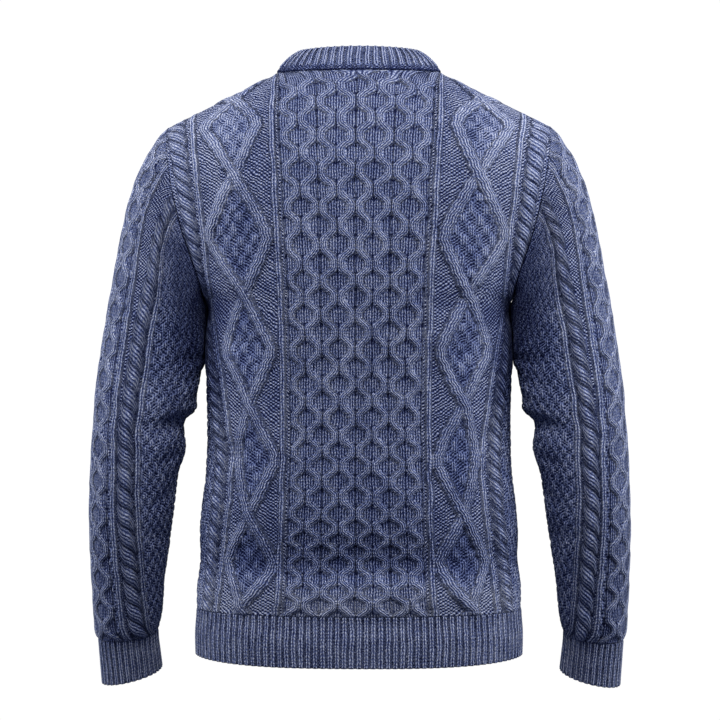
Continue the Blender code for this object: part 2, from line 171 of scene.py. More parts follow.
# Heights up the cloth at which the honeycomb's rows of cells have their middles, from the
# first row below the neckband down; those with an even number hold four whole cells.
HONEYCOMB_FIRST = -1
HONEYCOMB_ROWS = (-0.0183, -0.0384, -0.0596, -0.0810, -0.1006, -0.1210, -0.1421, -0.1619, -0.1829,
                  -0.2043, -0.2253, -0.2421, -0.2618, -0.2813, -0.3010, -0.3192, -0.3388, -0.3579,
                  -0.3760, -0.3951, -0.4133, -0.4312, -0.4477, -0.4653, -0.4821, -0.4998, -0.5149,
                  -0.5293, -0.5428, -0.5559, -0.5713, -0.5857, -0.6003, -0.6168)
HONEYCOMB_ABOVE = 0.0175    # how far its cords go on above the first row

# Heights up the cloth of the diamonds' crossings (whole numbers) and bends (halves)
DIAMOND_STEPS = ((-0.6600, 5.5), (-0.6060, 5.0), (-0.5547, 4.5), (-0.5020, 4.0), (-0.4395, 3.5),
                 (-0.3790, 3.0), (-0.3200, 2.5), (-0.2585, 2.0), (-0.1930, 1.5), (-0.1234, 1.0),
                 (-0.0610, 0.5), (-0.0167, 0.0), (+0.0330, -0.5))

# How far round the sleeve its lines lie from the outer line, by ring of the sleeve table
SLEEVE_OUTER_RIDGE = ((0.0, 0.0735), (3.0, 0.0712), (6.0, 0.0690), (8.0, 0.0660), (12.0, 0.0655),
                      (19.0, 0.0655))
SLEEVE_INNER_RIDGE = ((0.0, 0.1310), (3.2, 0.1234), (5.4, 0.1137), (7.1, 0.1015), (8.5, 0.0985),
                      (19.0, 0.0965))

LEG = 0.0030                # width of one leg of a knit stitch, and half a purl stitch
ROW = 0.0038                # height of one row
GUTTER = 0.0084             # from a ridge's middle to the honeycomb's edge
PAST_EDGE = 0.0010          # how far the honeycomb's ground goes on past that edge
CELL_ROW = 0.0195           # between two rows of the honeycomb's cells
BODY_CELLS = 4
SLEEVE_CELLS = 3
CELL_CORD = 0.113           # half-width of the honeycomb's cords, as a share of a cell
CELL_CORD_PLACE = 0.115     # how far their middles keep from the line where two meet
RIDGE_HALF_WIDTH = 0.0034
DIAMOND_CORD = 0.0066       # half-width of the diamonds' cords
DIAMOND_BEND = 0.15         # how round they turn
CORD_STEP = 0.0007          # they step to and fro by this,
CORD_STEP_EVERY = 0.0125    # this often
OVER, UNDER = 0.0006, -0.0016   # how a cord rises or dips where two cross

# The ropes: half-width, how far a strand climbs across it, how much of that is at its ends,
# distance between strands, legs in a strand, shade between strands, and which part comes first
BODY_ROPE = {"half_width": 0.0125, "climb": 0.0095, "curl": 0.25, "period": 0.0168, "legs": 4,
             "shade": 0.75, "start": 0.3}
SLEEVE_ROPE = {"half_width": 0.0102, "climb": 0.0145, "curl": 0.5, "period": 0.0236, "legs": 5,
               "shade": 0.6, "start": 0.0}
BODY_ROPE_PLACE = 0.0205    # from the outer ridge out to the rope's middle
SLEEVE_ROPE_PLACE = -0.0147     # from the inner ridge

# The ribs: width of a knit and a purl column, half-width of the knit one as a share of that, how
# high it stands, its painted highlight, the painted shade in the purl, and its wander: share, patch
# size and seed
RIBS = {
    "neckband": {"pitch": 0.0092, "share": 0.32, "height": 0.0024, "painted_highlight": 0.16, "shade": 0.12,
                 "wander": (0.06, 0.05, 1.1)},
    "welt": {"pitch": 0.0080, "share": 0.37, "height": 0.0020, "painted_highlight": 0.14, "shade": 0.00,
             "wander": (0.05, 0.04, 2.2)},
    "cuff": {"pitch": 0.0073, "share": 0.37, "height": 0.0020, "painted_highlight": 0.20, "shade": 0.00,
             "wander": (0.05, 0.04, 2.2)},
}

# How high each kind of knitting stands on the cloth
PURL_RISE = -0.0025
MOSS_RISE = -0.0017
RIDGE_RISE = -0.0018
CABLE_BASE = -0.0020
RIB_GROOVE = -0.0021
RIB_BASE = -0.0019
LEVEL = -0.0012             # of work that is pulled flat beside a seam
BESIDE_SLEEVE = 0.0008      # of the body where the sleeve rests against it
BARE = -1.0                 # nothing laid yet

PURL_SHADE = 0.16
OUTLINE = 0.0020            # how far the shade beside a cable's edge reaches
# Painted shade on the inside of each piece: it is a little darker than the outside
INSIDE_CREASE_SHADE = 0.25        # the inside is a little darker than the outside
INSIDE_PAINTED_SHADE = -0.25
EVERYWHERE = True
STITCH_DRIFT = 0.006        # over which single stitches are bigger or smaller
DYE_PATCH = 0.018           # over which the wool is lighter or darker
STITCH_HEIGHT = 0.0014

# The body's soft folds: where each starts and ends (distance from the centre line, height),
# how wide it is, and how far it stands out or in. The first two are the dip above the hem and
# the roll below it; the rest are short and run in from the side.
BODY_FOLDS = (
    ((-0.250, -0.561), (0.250, -0.559), 0.022, -0.0095),
    ((-0.165, -0.604), (0.165, -0.602), 0.017, +0.0008),
    ((-0.200, -0.425), (-0.110, -0.440), 0.016, -0.0035),
    ((+0.200, -0.405), (+0.125, -0.425), 0.015, -0.0030),
    ((-0.200, -0.480), (-0.130, -0.500), 0.013, +0.0025),
    ((+0.205, -0.470), (+0.140, -0.490), 0.014, +0.0025),
    ((-0.175, -0.290), (-0.095, -0.330), 0.014, -0.0025),
    ((+0.175, -0.285), (+0.105, -0.335), 0.013, -0.0022),
)

# The sleeve's soft folds: where each starts and ends (metres round from the outer line, and
# down from the shoulder along it), how wide it is, and how far it stands out or in
SLEEVE_FOLDS = (
    ((0.175, 0.345), (0.118, 0.368), 0.009, -0.0040),
    ((0.165, 0.372), (0.115, 0.390), 0.009, +0.0020),
    ((0.165, 0.400), (0.115, 0.412), 0.008, -0.0025),
    ((0.160, 0.445), (0.112, 0.462), 0.009, -0.0022),
    ((0.150, 0.500), (0.090, 0.488), 0.009, -0.0020),
    ((0.185, 0.290), (0.120, 0.330), 0.012, +0.0025),
    ((0.205, 0.215), (0.130, 0.262), 0.013, -0.0030),
    ((-0.170, 0.350), (-0.090, 0.335), 0.011, -0.0040),
    ((-0.160, 0.385), (-0.095, 0.380), 0.009, -0.0035),
    ((-0.155, 0.420), (-0.100, 0.430), 0.010, -0.0025),
    ((-0.200, 0.240), (-0.130, 0.270), 0.013, -0.0030),
)

# Painted light and shade on the body: how much lighter it is (darker below nought), and the
# heights and the distances from the centre line over which that comes in
BODY_PAINTED_LIGHT_AND_SHADE = (
    (-0.06, (("height", -0.360, -0.520), ("height", -0.580, -0.564))),
    (+0.10, (("height", -0.580, -0.596),)),
    (+0.12, (("height", -0.592, -0.606), ("aside", 0.085, 0.065))),
    (+0.06, (("height", -0.150, -0.080), ("aside", 0.080, 0.130))),
    (+0.09, (("aside", 0.128, 0.140),)),
)

# Steps in the grids of points that the knitting is laid on
NECK_COLUMNS = 60
SHOULDER_COLUMNS = 75
BODY_ROWS = 185
ARMHOLE_ROWS = 150
SLEEVE_ROWS = 360
SLEEVE_COLUMN_COUNT = 250
WELT_RIBS = 62
WELT_ROWS = 32
CUFF_RIBS = 32
CUFF_ROWS = 36
BAND_RIBS = 57
BAND_ROWS = 24
COLUMNS_IN_RIB = 8
COLUMNS_IN_BAND_RIB = 10
DENSE = 320                 # points of an outline before it is spaced evenly

# By slot: thickness of the knitting, and how many outer steps one step inside takes
CLOTH = {"cable_knit": (0.0040, 5), "rib_knit": (0.0044, 4)}

# Soft boxes: where each stands, how wide it is, its power in watts, the angle it spreads over,
# the height on the garment at which it points, and its colour
LIGHTS = (
    ("top", (0.0, 1.15, 1.15), 1.1, 12.6, 105.0, -0.10, "fffaf2"),
    ("left", (1.7, 0.40, 0.35), 1.0, 25.0, 180.0, -0.20, "ffffff"),
    ("right", (-1.7, 0.40, 0.35), 1.0, 30.0, 180.0, -0.20, "ffffff"),
    ("opposite", (0.0, -1.5, 0.9), 1.2, 26.0, 180.0, -0.25, "ffffff"),
)
AMBIENT = "d8e2ff"          # what comes in from all round is a little cooler
AMBIENT_STRENGTH = 0.18
BACKDROP_STRENGTH = 1.02    # what the camera sees behind the garment


# ---- The form ----

def unit(value):
    """The value, held between 0 and 1."""
    return np.clip(value, 0.0, 1.0)


def blend(at, start, end):
    """0 before start, 1 after end, and a smooth rise between them. Start may be the greater."""
    share = unit((at - start) / (end - start))
    return share * share * (3.0 - 2.0 * share)


def bell(away, width):
    """1 where away is 0, fading out over about twice the width."""
    return np.exp(-(away / width) ** 2)


def curve_through(knots, values, at):
    """A smooth curve through the values given at the knots, read at the places asked for."""
    slopes = np.gradient(values, knots)
    place = np.clip(np.searchsorted(knots, at) - 1, 0, len(knots) - 2)
    span = knots[place + 1] - knots[place]
    t = unit((at - knots[place]) / span)
    start, end = values[place], values[place + 1]
    rise = 3.0 * t ** 2 - 2.0 * t ** 3
    leave = (t ** 3 - 2.0 * t ** 2 + t) * span * slopes[place]
    arrive = (t ** 3 - t ** 2) * span * slopes[place + 1]
    return start + (end - start) * rise + leave + arrive


def read_pairs(pairs, at):
    """A smooth curve through a table of (knot, value) pairs."""
    knots, values = np.array(pairs).T
    return curve_through(knots, values, at)


def torso_size(name, height):
    """One of the torso's named columns at a height."""
    return curve_through(TORSO[:, 0], TORSO[:, TORSO_COLUMNS.index(name)], height)


def armhole_half_width(height):
    """Distance of the armhole seam from the centre line."""
    return curve_through(ARMHOLE[:, 0], ARMHOLE[:, 1], height)


def shoulder_height(x):
    """The shoulder line, and the form it carries on to inside the neck."""
    def reach(distance):
        return np.sqrt(distance ** 2 + SHOULDER_ROUNDING ** 2)

    slope = SHOULDER_DROP / (reach(SHOULDER_HALF_WIDTH) - reach(NECK_HALF_WIDTH))
    return -slope * (reach(x) - reach(NECK_HALF_WIDTH))


def torso_depth(side, x, z):
    """Distance of the torso's surface from the side seams' plane, towards the back or front."""
    form = ROUNDING[side]
    stands_out = torso_size("back" if side > 0 else "front", z)
    opened = blend(z, UNDERARM_HEIGHT, ARMHOLE_ROOT_FROM)
    root = 1.0 / SECTION_POWER + (ARMHOLE_ROOT - 1.0 / SECTION_POWER) * opened
    across = unit(1.0 - (np.abs(x) / torso_size("half_width", z)) ** SECTION_POWER)
    over = unit((z - form["start"]) / (shoulder_height(x) - form["start"]))
    return stands_out * across ** root * (1.0 - over ** form["power"]) ** form["root"]


def travelled(points):
    """How far along a polyline each of its points is."""
    steps = np.linalg.norm(np.diff(points, axis=0), axis=-1)
    return np.concatenate([np.zeros_like(steps[:1]), np.cumsum(steps, axis=0)])


def across_the_cloth(places):
    """Each point's distance along its row from the centre line, and from the nearer edge.

    Rows are measured as seen from above, so that the pattern stays square to up.
    """
    gone = travelled((places * (1.0, 1.0, 0.0)).transpose(1, 0, 2)).T
    middle = places.shape[1] // 2
    return gone - gone[:, middle:middle + 1], np.minimum(gone, gone[:, -1:] - gone)


def round_the_tube(places):
    """Each point's distance round its ring from the first column, either way, and the whole way."""
    looped = np.concatenate([places, places[:, :1]], axis=1)
    gone = travelled(looped.transpose(1, 0, 2)).T
    right, perimeter = gone[:, :-1], gone[:, -1:]
    return np.where(right > perimeter / 2, right - perimeter, right), perimeter


def spaced_evenly(points, count):
    """The polyline's points moved to equal steps along it."""
    along = travelled(points)
    wanted = np.linspace(0.0, along[-1], count + 1)
    return np.stack([np.interp(wanted, along, points[:, axis]) for axis in range(3)], axis=1)


def torso_row(side, edge_height, neck_columns, shoulder_columns):
    """Half a row of the back or front, from the centre line to the side seam or armhole."""
    if edge_height < UNDERARM_HEIGHT:
        edge = torso_size("half_width", edge_height)
    else:
        edge = armhole_half_width(edge_height)
    lift = (edge_height - WELT_TOP) / (-SHOULDER_DROP - WELT_TOP)
    neck_share = NECK_HALF_WIDTH / SHOULDER_HALF_WIDTH
    turn = np.sin(np.linspace(0.0, np.pi / 2, DENSE))
    halves = []
    for start, end, count in ((0.0, neck_share, neck_columns), (neck_share, 1.0, shoulder_columns)):
        share = start + (end - start) * turn
        top_x = share * SHOULDER_HALF_WIDTH
        top = shoulder_height(np.maximum(top_x, NECK_HALF_WIDTH))
        inside_neck = unit(1.0 - (top_x / NECK_HALF_WIDTH) ** 2)
        dip = ROUNDING[side]["neck_drop"] * np.sqrt(inside_neck) * blend(lift, NECK_DIP_FROM, 1.0)
        z = WELT_TOP + lift * (top - WELT_TOP) - dip
        x = share * edge
        y = side * torso_depth(side, x, z)
        halves.append(spaced_evenly(np.stack([x, y, z], axis=1), count))
    return np.concatenate([halves[0], halves[1][1:]])


def whole_row(half_row, side):
    """The half row and its mirror image, from left to right as seen from outside."""
    row = np.concatenate([half_row[:0:-1] * (-1, 1, 1), half_row])
    return row[::-1] if side > 0 else row


def normals_of(grid, closed):
    """Unit vectors square to a grid whose columns run to the right and rows upwards, outward."""
    up = np.gradient(grid, axis=0)
    if closed:
        right = np.roll(grid, -1, axis=1) - np.roll(grid, 1, axis=1)
    else:
        right = np.gradient(grid, axis=1)
    normal = np.cross(right, up)
    return normal / np.linalg.norm(normal, axis=2, keepdims=True)


def sleeve_ring(value, armhole_share, count):
    """Points round the sleeve, from the outer line to the back, under the arm and to the front."""
    half = []
    for side in (+1, -1):
        angle = np.linspace(0.0, np.pi, DENSE)
        inner = np.array((value["inner_x"], 0.0, value["inner_z"]))
        outer = np.array((value["outer_x"], 0.0, value["outer_z"]))
        middle, reach = (outer + inner) / 2, (outer - inner) / 2
        oval = value["half_depth"] * np.abs(np.sin(angle)) ** OVAL_POWER
        seam_height = (UNDERARM_HEIGHT - SHOULDER_DROP) / 2
        seam_height = seam_height + (-SHOULDER_DROP - UNDERARM_HEIGHT) / 2 * np.cos(angle)
        seam_x = armhole_half_width(seam_height)
        seam_depth = torso_depth(side, seam_x, seam_height)
        depth = side * (oval + (seam_depth - oval) * armhole_share)
        lean = np.radians(value["lean"])
        points = middle + np.outer(np.cos(angle), reach)
        up_the_armhole = (1.0 + np.cos(angle)) / 2
        straight_x = UNDERARM_HALF_WIDTH + (SHOULDER_HALF_WIDTH - UNDERARM_HALF_WIDTH) * up_the_armhole
        points[:, 0] += (seam_x - straight_x) * armhole_share
        points[:, 1] += value["back"] + depth * np.cos(lean)
        points[:, 2] -= depth * np.sin(lean)
        half.append(spaced_evenly(points, count // 2))
    return np.concatenate([half[0], half[1][-2:0:-1]])


def tube_places(table, rings, count, settled_from=None):
    """Rings of a sleeve or cuff at the ring numbers given, lowest first."""
    knots = np.arange(len(table), dtype=float)
    places = []
    for ring in rings:
        row = [float(curve_through(knots, table[:, column], np.array(ring)))
               for column in range(len(SLEEVE_COLUMNS))]
        share = 1.0 - float(blend(ring, 0, settled_from)) if settled_from else 0.0
        places.append(sleeve_ring(dict(zip(SLEEVE_COLUMNS, row)), share, count))
    return np.array(places)


def pushed(places, closed, amount):
    """The grid moved outwards by the amount at each point, for the cloth's own soft folds."""
    return places + normals_of(places, closed) * amount[..., None]


def soft_fold(across, up, start, end, width, height):
    """A trough or ridge along a line, fading towards both of its ends."""
    start, end = np.array(start), np.array(end)
    line = end - start
    share = unit(((across - start[0]) * line[0] + (up - start[1]) * line[1]) / (line @ line))
    away = np.hypot(across - start[0] - share * line[0], up - start[1] - share * line[1])
    return height * bell(away, width) * (0.35 + 0.65 * np.sin(np.pi * share))


# ---- Knitting: what the yarn does at each point of a piece ----

def wobble(right, up, size, seed):
    """The small unevenness of knitting, about -1 to 1, over patches of about the given size."""
    turns = 2.0 * np.pi / size
    total = 0.0
    for number in range(5):
        angle = seed + 2.4 * number
        run = right * np.cos(angle) + up * np.sin(angle)
        total = total + np.sin(turns * (0.6 + 0.23 * number) * run + 1.7 * angle)
    return total / 3.0


def uneven(right, up, sideways, seeds):
    """The same places as they are on real work, where no line runs quite true."""
    return (right + sideways * wobble(right, up, 0.060, seeds[0]),
            up + 0.0012 * wobble(right, up, 0.070, seeds[1]))


class Knitting:
    """A piece's outer grid, and at each point how high the stitches stand and how they run.

    Across counts legs and along counts rows. Purl goes from 0, knit, to 1. Painted shade darkens
    where shade falls in creases, gaps and seams, and below nought is painted light on raised work;
    painted light and shade lightens, and darkens below nought; and lean tips the rows of purl.
    """

    def __init__(self, places, closed):
        self.places = places
        self.closed = closed
        self.normals = normals_of(places, closed)
        size = places.shape[:2]
        self.rise = np.full(size, BARE)
        self.across, self.along, self.purl, self.painted_shade, self.tone, self.lean = np.zeros((6, *size))
        self.inside_across = self.across

    def clear(self, where):
        """Takes stitches off, so that the next ones show however low they lie."""
        self.rise = np.where(where, BARE, self.rise)

    def lay(self, where, rise, across, along, purl, painted_shade):
        """Stitches over the ones already there, wherever they stand higher."""
        on_top = where & (rise > self.rise)
        for name, value in (("rise", rise), ("across", across), ("along", along),
                            ("purl", purl), ("painted_shade", painted_shade)):
            setattr(self, name, np.where(on_top, value, getattr(self, name)))

    def cord(self, where, offset, half_width, base, height, up, legs, crown, shade, painted_highlight=0.06):
        """A raised cord of a few legs of knit stitches, by the distance from its middle, with painted
        light on top and painted shade along its edges.
        """
        inside = unit(1.0 - (offset / half_width) ** 2)
        near = where & (np.abs(offset) < half_width)
        across = (offset / half_width + 1.0) * legs / 2
        self.lay(near, base + height * inside ** crown, across, up / ROW, 0.0, -painted_highlight)
        self.outline(where, offset, half_width, base + 0.45 * height, shade)

    def outline(self, where, offset, half_width, top, shade):
        """Painted shade along a cord's edges, on whatever lies lower than top there."""
        edge = shade * unit(1.0 - np.abs(np.abs(offset) - half_width) / OUTLINE)
        shows = where & (self.rise < top)
        self.painted_shade = np.where(shows, np.maximum(self.painted_shade, edge), self.painted_shade)

    def pit(self, where, amount, depth, shade):
        """A small hollow, with painted shade in it."""
        amount = np.where(where, amount, 0.0)
        self.rise = self.rise - depth * amount
        self.painted_shade = np.maximum(self.painted_shade, shade * amount)

    def press(self, distance, reach, depth, shade):
        """The stitches flatten towards a seam, which lies in a slight groove with painted shade along
        it.
        """
        near = 1.0 - blend(distance, 0.0, reach)
        self.rise = self.rise * (1.0 - near) - depth * near
        self.painted_shade = np.maximum(self.painted_shade, unit(1.0 - distance / 0.0022) * shade)

    def flatten(self, distance, reach, least):
        """Raised work is pulled flatter as it comes up to a seam, down to the least share kept."""
        kept = least + (1.0 - least) * blend(distance, 0.0, reach)
        self.rise = LEVEL + (self.rise - LEVEL) * kept


def squareness(position, up):
    """Cosine of the angle at which a line leans, from its sideways place at each height."""
    lean = np.gradient(position, axis=0) / np.gradient(up, axis=0)
    return 1.0 / np.sqrt(1.0 + lean ** 2)


def lay_purl(knit, where, right, up):
    """Reverse stocking stitch."""
    knit.lay(where, PURL_RISE, right / LEG, up / ROW, 1.0, PURL_SHADE)


def lay_moss(knit, where, right, up, block_width, block_height, shade):
    """Double moss: blocks of knit and purl that change places."""
    shift = 0.22 * wobble(right, up, 0.030, 3.1)
    check = np.sin(np.pi * (right / block_width + shift)) * np.sin(np.pi * (up / block_height - shift))
    raised = np.tanh(2.6 * check)
    # Painted shade in the moss, less on its raised blocks
    knit.lay(where, MOSS_RISE + 0.0012 * raised, right / LEG, up / ROW,
             0.5 - 0.4 * raised, shade - 0.14 * raised)


def lay_ridge(knit, offset, up):
    """One column of knit stitches standing up between gutters, its two legs side by side."""
    knit.cord(EVERYWHERE, offset, RIDGE_HALF_WIDTH, RIDGE_RISE, 0.0017, up, 2, 0.4, 0.30, 0.0)


def lay_honeycomb(knit, right, up, half_width, cells, phase, sunk, first_row=-1000):
    """Cords that part round a sunken cell, meet their other neighbour and part again.

    The phase counts rows of cells downwards, and rows with an odd number lie half a cell over.
    """
    where = np.abs(right) < half_width + PAST_EDGE
    cell_width = 2.0 * half_width / cells
    cell = right / cell_width + cells / 2.0
    knit.clear(where)
    # The sunken cells' ground carries as much painted shade as sunk gives
    knit.lay(where, PURL_RISE, (cell % 1.0 - 0.5) * cell_width / LEG, up / ROW, 0.0, sunk)
    from_even = np.abs((phase + 1.0) % 2.0 - 1.0)
    swing = blend(from_even, 0.13, 0.87)
    for number in range(2 * cells):
        pair, leaves = number // 2, 1 - 2 * (number % 2)
        start = pair + (CELL_CORD_PLACE if leaves > 0 else 1.0 - CELL_CORD_PLACE)
        end = pair + 0.5 - leaves * CELL_CORD_PLACE
        place = (start + (end - start) * swing) * cell_width
        offset = (cell * cell_width - place) * squareness(place, up)
        knit.cord(where, offset, CELL_CORD * cell_width, CABLE_BASE - 0.0002, 0.0026, up, 4, 0.6, 0.15)
    for odd in (0, 1):
        row = 2.0 * np.round((phase - odd) / 2.0) + odd
        middle = np.round(cell) if odd else np.floor(cell) + 0.5
        side = (cell - middle) * cell_width
        above = (row - phase) * CELL_ROW
        wedge = 0.0005 + 0.42 * np.clip(0.0122 - above, 0.0, 0.0055)
        marks = (
            # A hollow wedge of painted shade under the cords that meet above the cell, and a hollow dot
            # of it where they part below it
            (bell(side, wedge) * bell(((above - 0.0088) / 0.0022) ** 2, 1.0), 0.0012, 1.0),
            (bell(side, 0.0023) * bell(above + 0.0100, 0.0014), 0.0011, 1.0),
            # Painted shade in a shallow line between two cords that run together, and in the one down
            # the cell's middle
            (bell(side, 0.0010) * blend(np.abs(above), 0.0115, 0.0145), 0.0003, 0.45),
            (bell(side, 0.0009) * blend(np.abs(above), 0.0075, 0.0050), 0.0004, 0.40),
        )
        for mark, depth, shade in marks:
            knit.pit(where & (row >= first_row), mark, depth, shade)


def lay_rope(knit, where, offset, up, half_width, climb, curl, period, legs, shade, start):
    """Strands that lie side by side, each crossing from the upper left to the lower right.

    Each is steeper towards its ends, where it goes under the next one.
    """
    lay_purl(knit, where, offset, up)
    side = np.clip(offset / half_width, -1.0, 1.0)
    phase = -(up + climb * ((1.0 - curl) * side + 1.5 * curl * side ** 5)) / period + start
    across = 2.0 * (phase % 1.0) - 1.0
    slope = climb * ((1.0 - curl) + 7.5 * curl * side ** 4) / half_width
    cosine = 1.0 / np.sqrt(1.0 + slope ** 2)
    edge = half_width * (1.0 - 0.26 * across ** 2)
    roundness = (1.0 - across ** 2) ** 0.6 * (1.0 - side ** 4) ** 0.5
    from_next = (1.0 - np.abs(across)) * period / 2 * cosine
    # Painted shade between the strands and where each tucks under the next, less a little painted light
    # on their tops, and painted shade along the rope's edges
    shade_between_strands = shade * unit(1.0 - from_next / 0.0026)
    tucked_shade = 0.6 * shade * blend(side * np.sign(across), 0.45, 0.95) * blend(np.abs(across), 0.2, 0.8)
    rise = CABLE_BASE - 0.0008 + 0.0040 * roundness + 0.0004 * across * (1.0 - side ** 2)
    knit.lay(where & (np.abs(offset) < edge), rise, (across + 1.0) * legs / 2,
             (up * slope - offset) * cosine / ROW, 0.0, np.maximum(shade_between_strands, tucked_shade) - 0.06)
    knit.outline(where, offset, edge, CABLE_BASE + 0.0006, 0.55)


def lay_diamonds(knit, where, right, up, crossing, outer_bend, inner_bend, outward):
    """Two broad cords that cross and part, with moss in the diamonds and purl outside them."""
    phase = read_pairs(DIAMOND_STEPS, up)
    part = 2.0 * np.abs(phase - np.round(phase))
    bend = np.hypot(1.0 - part, DIAMOND_BEND) - DIAMOND_BEND
    opened = 1.0 - bend / (np.hypot(1.0, DIAMOND_BEND) - DIAMOND_BEND)
    outer = crossing + (outer_bend - crossing) * opened
    inner = crossing + (inner_bend - crossing) * opened
    distance = np.abs(right)
    lay_purl(knit, where, right, up)
    within = where & (distance > inner) & (distance < outer)
    knit.clear(within)
    lay_moss(knit, within, right, up, 3 * LEG, 0.0120, 0.19)
    even = np.floor(phase) % 2.0 == 0.0
    above = phase < np.round(phase)
    for cord, is_outer in enumerate((even, ~even)):
        # The cord that is on the left above a crossing passes over the other one there
        on_left = is_outer == (outward < 0)
        lift = np.where(above == on_left, OVER, UNDER) * bell(part, 0.24)
        step = CORD_STEP * np.sin(2.0 * np.pi * (up / CORD_STEP_EVERY + 0.5 * cord))
        place = np.where(is_outer, outer, inner)
        offset = (distance - place + step) * squareness(place, up)
        half_width = DIAMOND_CORD + 0.7 * np.abs(step)
        knit.cord(where, offset, half_width, CABLE_BASE + lift, 0.0034, up, 5, 0.55, 0.25)


def lay_ribs(knit, ribs, up, pitch, share, height, painted_highlight, shade, wander):
    """Single rib: a knit column standing up, a purl column sunk between."""
    amount, patch, seed = wander
    right = (ribs + amount * wobble(ribs * pitch, up, patch, seed)) * pitch
    offset = right - np.round(right / pitch) * pitch
    knit.lay(EVERYWHERE, RIB_GROOVE, right / pitch * 2.0 + 0.5, up / ROW, 1.0, shade)
    knit.cord(EVERYWHERE, offset, share * pitch, RIB_BASE, height, up, 2, 0.35, 0.22, painted_highlight)
    knit.inside_across = ribs * 2


# ---- Meshes and materials ----

def shell_faces(rows, columns, coarse, closed):
    """Faces of a wall: a fine outer grid, a coarse inner grid, and strips at the edges.

    The wall closes where the coarse steps divide the columns. The neckband's 570 columns don't
    divide by 4, so its inner grid runs askew and the last two columns of its edges stay open.
    """
    inner_rows = (rows - 1) // coarse + 1
    inner_columns = columns // coarse if closed else (columns - 1) // coarse + 1
    outer = np.arange(rows * columns).reshape(rows, columns)
    inner = rows * columns + np.arange(inner_rows * inner_columns).reshape(inner_rows, inner_columns)
    if closed:
        outer, inner = (np.concatenate([grid, grid[:, :1]], axis=1) for grid in (outer, inner))
    faces = []
    for grid, order in ((outer, (0, 1, 2, 3)), (inner, (0, 3, 2, 1))):
        corners = (grid[:-1, :-1], grid[:-1, 1:], grid[1:, 1:], grid[1:, :-1])
        faces += np.stack([corners[at] for at in order], axis=2).reshape(-1, 4).tolist()
    edges = [(outer[0], inner[0], True), (outer[-1], inner[-1], False)]
    if not closed:
        edges += [(outer[:, 0], inner[:, 0], False), (outer[:, -1], inner[:, -1], True)]
    for fine, plain, turned in edges:
        for step in range(len(plain) - 1):
            run = fine[step * coarse:(step + 1) * coarse + 1].tolist()
            ends = plain[step:step + 2].tolist()
            faces.append(run[::-1] + ends if turned else run + ends[::-1])
    return faces


def add_piece(context, name, knit, slot):
    """One knitted piece as a wall, with the run of its yarn kept on its points."""
    wall, coarse = CLOTH[slot]
    outer = knit.places + knit.normals * knit.rise[..., None]
    inner = (knit.places - knit.normals * wall)[::coarse, ::coarse]
    points = np.concatenate([outer.reshape(-1, 3), inner.reshape(-1, 3)])
    mesh = bpy.data.meshes.new(name + "_knitted")
    mesh.from_pydata(points.tolist(), [], shell_faces(*knit.rise.shape, coarse, knit.closed))
    mesh.shade_smooth()

    def kept(outside, inside):
        inside = np.broadcast_to(inside, outside.shape)[::coarse, ::coarse]
        return np.concatenate([outside.ravel(), inside.ravel()])

    layers = {
        "stitches": ((knit.across, knit.inside_across), (knit.along, knit.along), (knit.purl, 1.0)),
        "shade": ((knit.painted_shade, INSIDE_CREASE_SHADE), (knit.tone, INSIDE_PAINTED_SHADE), (knit.lean, knit.lean)),
    }
    for attribute, parts in layers.items():
        values = np.stack([kept(outside, inside) for outside, inside in parts], axis=1)
        layer = mesh.attributes.new(attribute, "FLOAT_VECTOR", "POINT")
        layer.data.foreach_set("vector", values.astype(np.float32).ravel())
    mesh.materials.append(wool(context, "marled_wool_" + slot))
    piece = bpy.data.objects.new(name + "_knitted", mesh)
    context.scene.collection.objects.link(piece)
    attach(piece, "root")
    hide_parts(name)


def linear(hex_colour):
    """An sRGB hex colour as linear light."""
    parts = [int(hex_colour[at:at + 2], 16) / 255.0 for at in (0, 2, 4)]
    return tuple(part / 12.92 if part <= 0.04045 else ((part + 0.055) / 1.055) ** 2.4 for part in parts)


def add_node(tree, kind, inputs, output=0, **settings):
    """Adds a node and returns an output; each input is a value or the socket that feeds it."""
    node = tree.nodes.new("ShaderNode" + kind)
    for name, value in settings.items():
        setattr(node, name, value)
    for key, value in inputs.items():
        if isinstance(value, bpy.types.NodeSocket):
            tree.links.new(value, node.inputs[key])
        else:
            node.inputs[key].default_value = value
    return node.outputs[output]


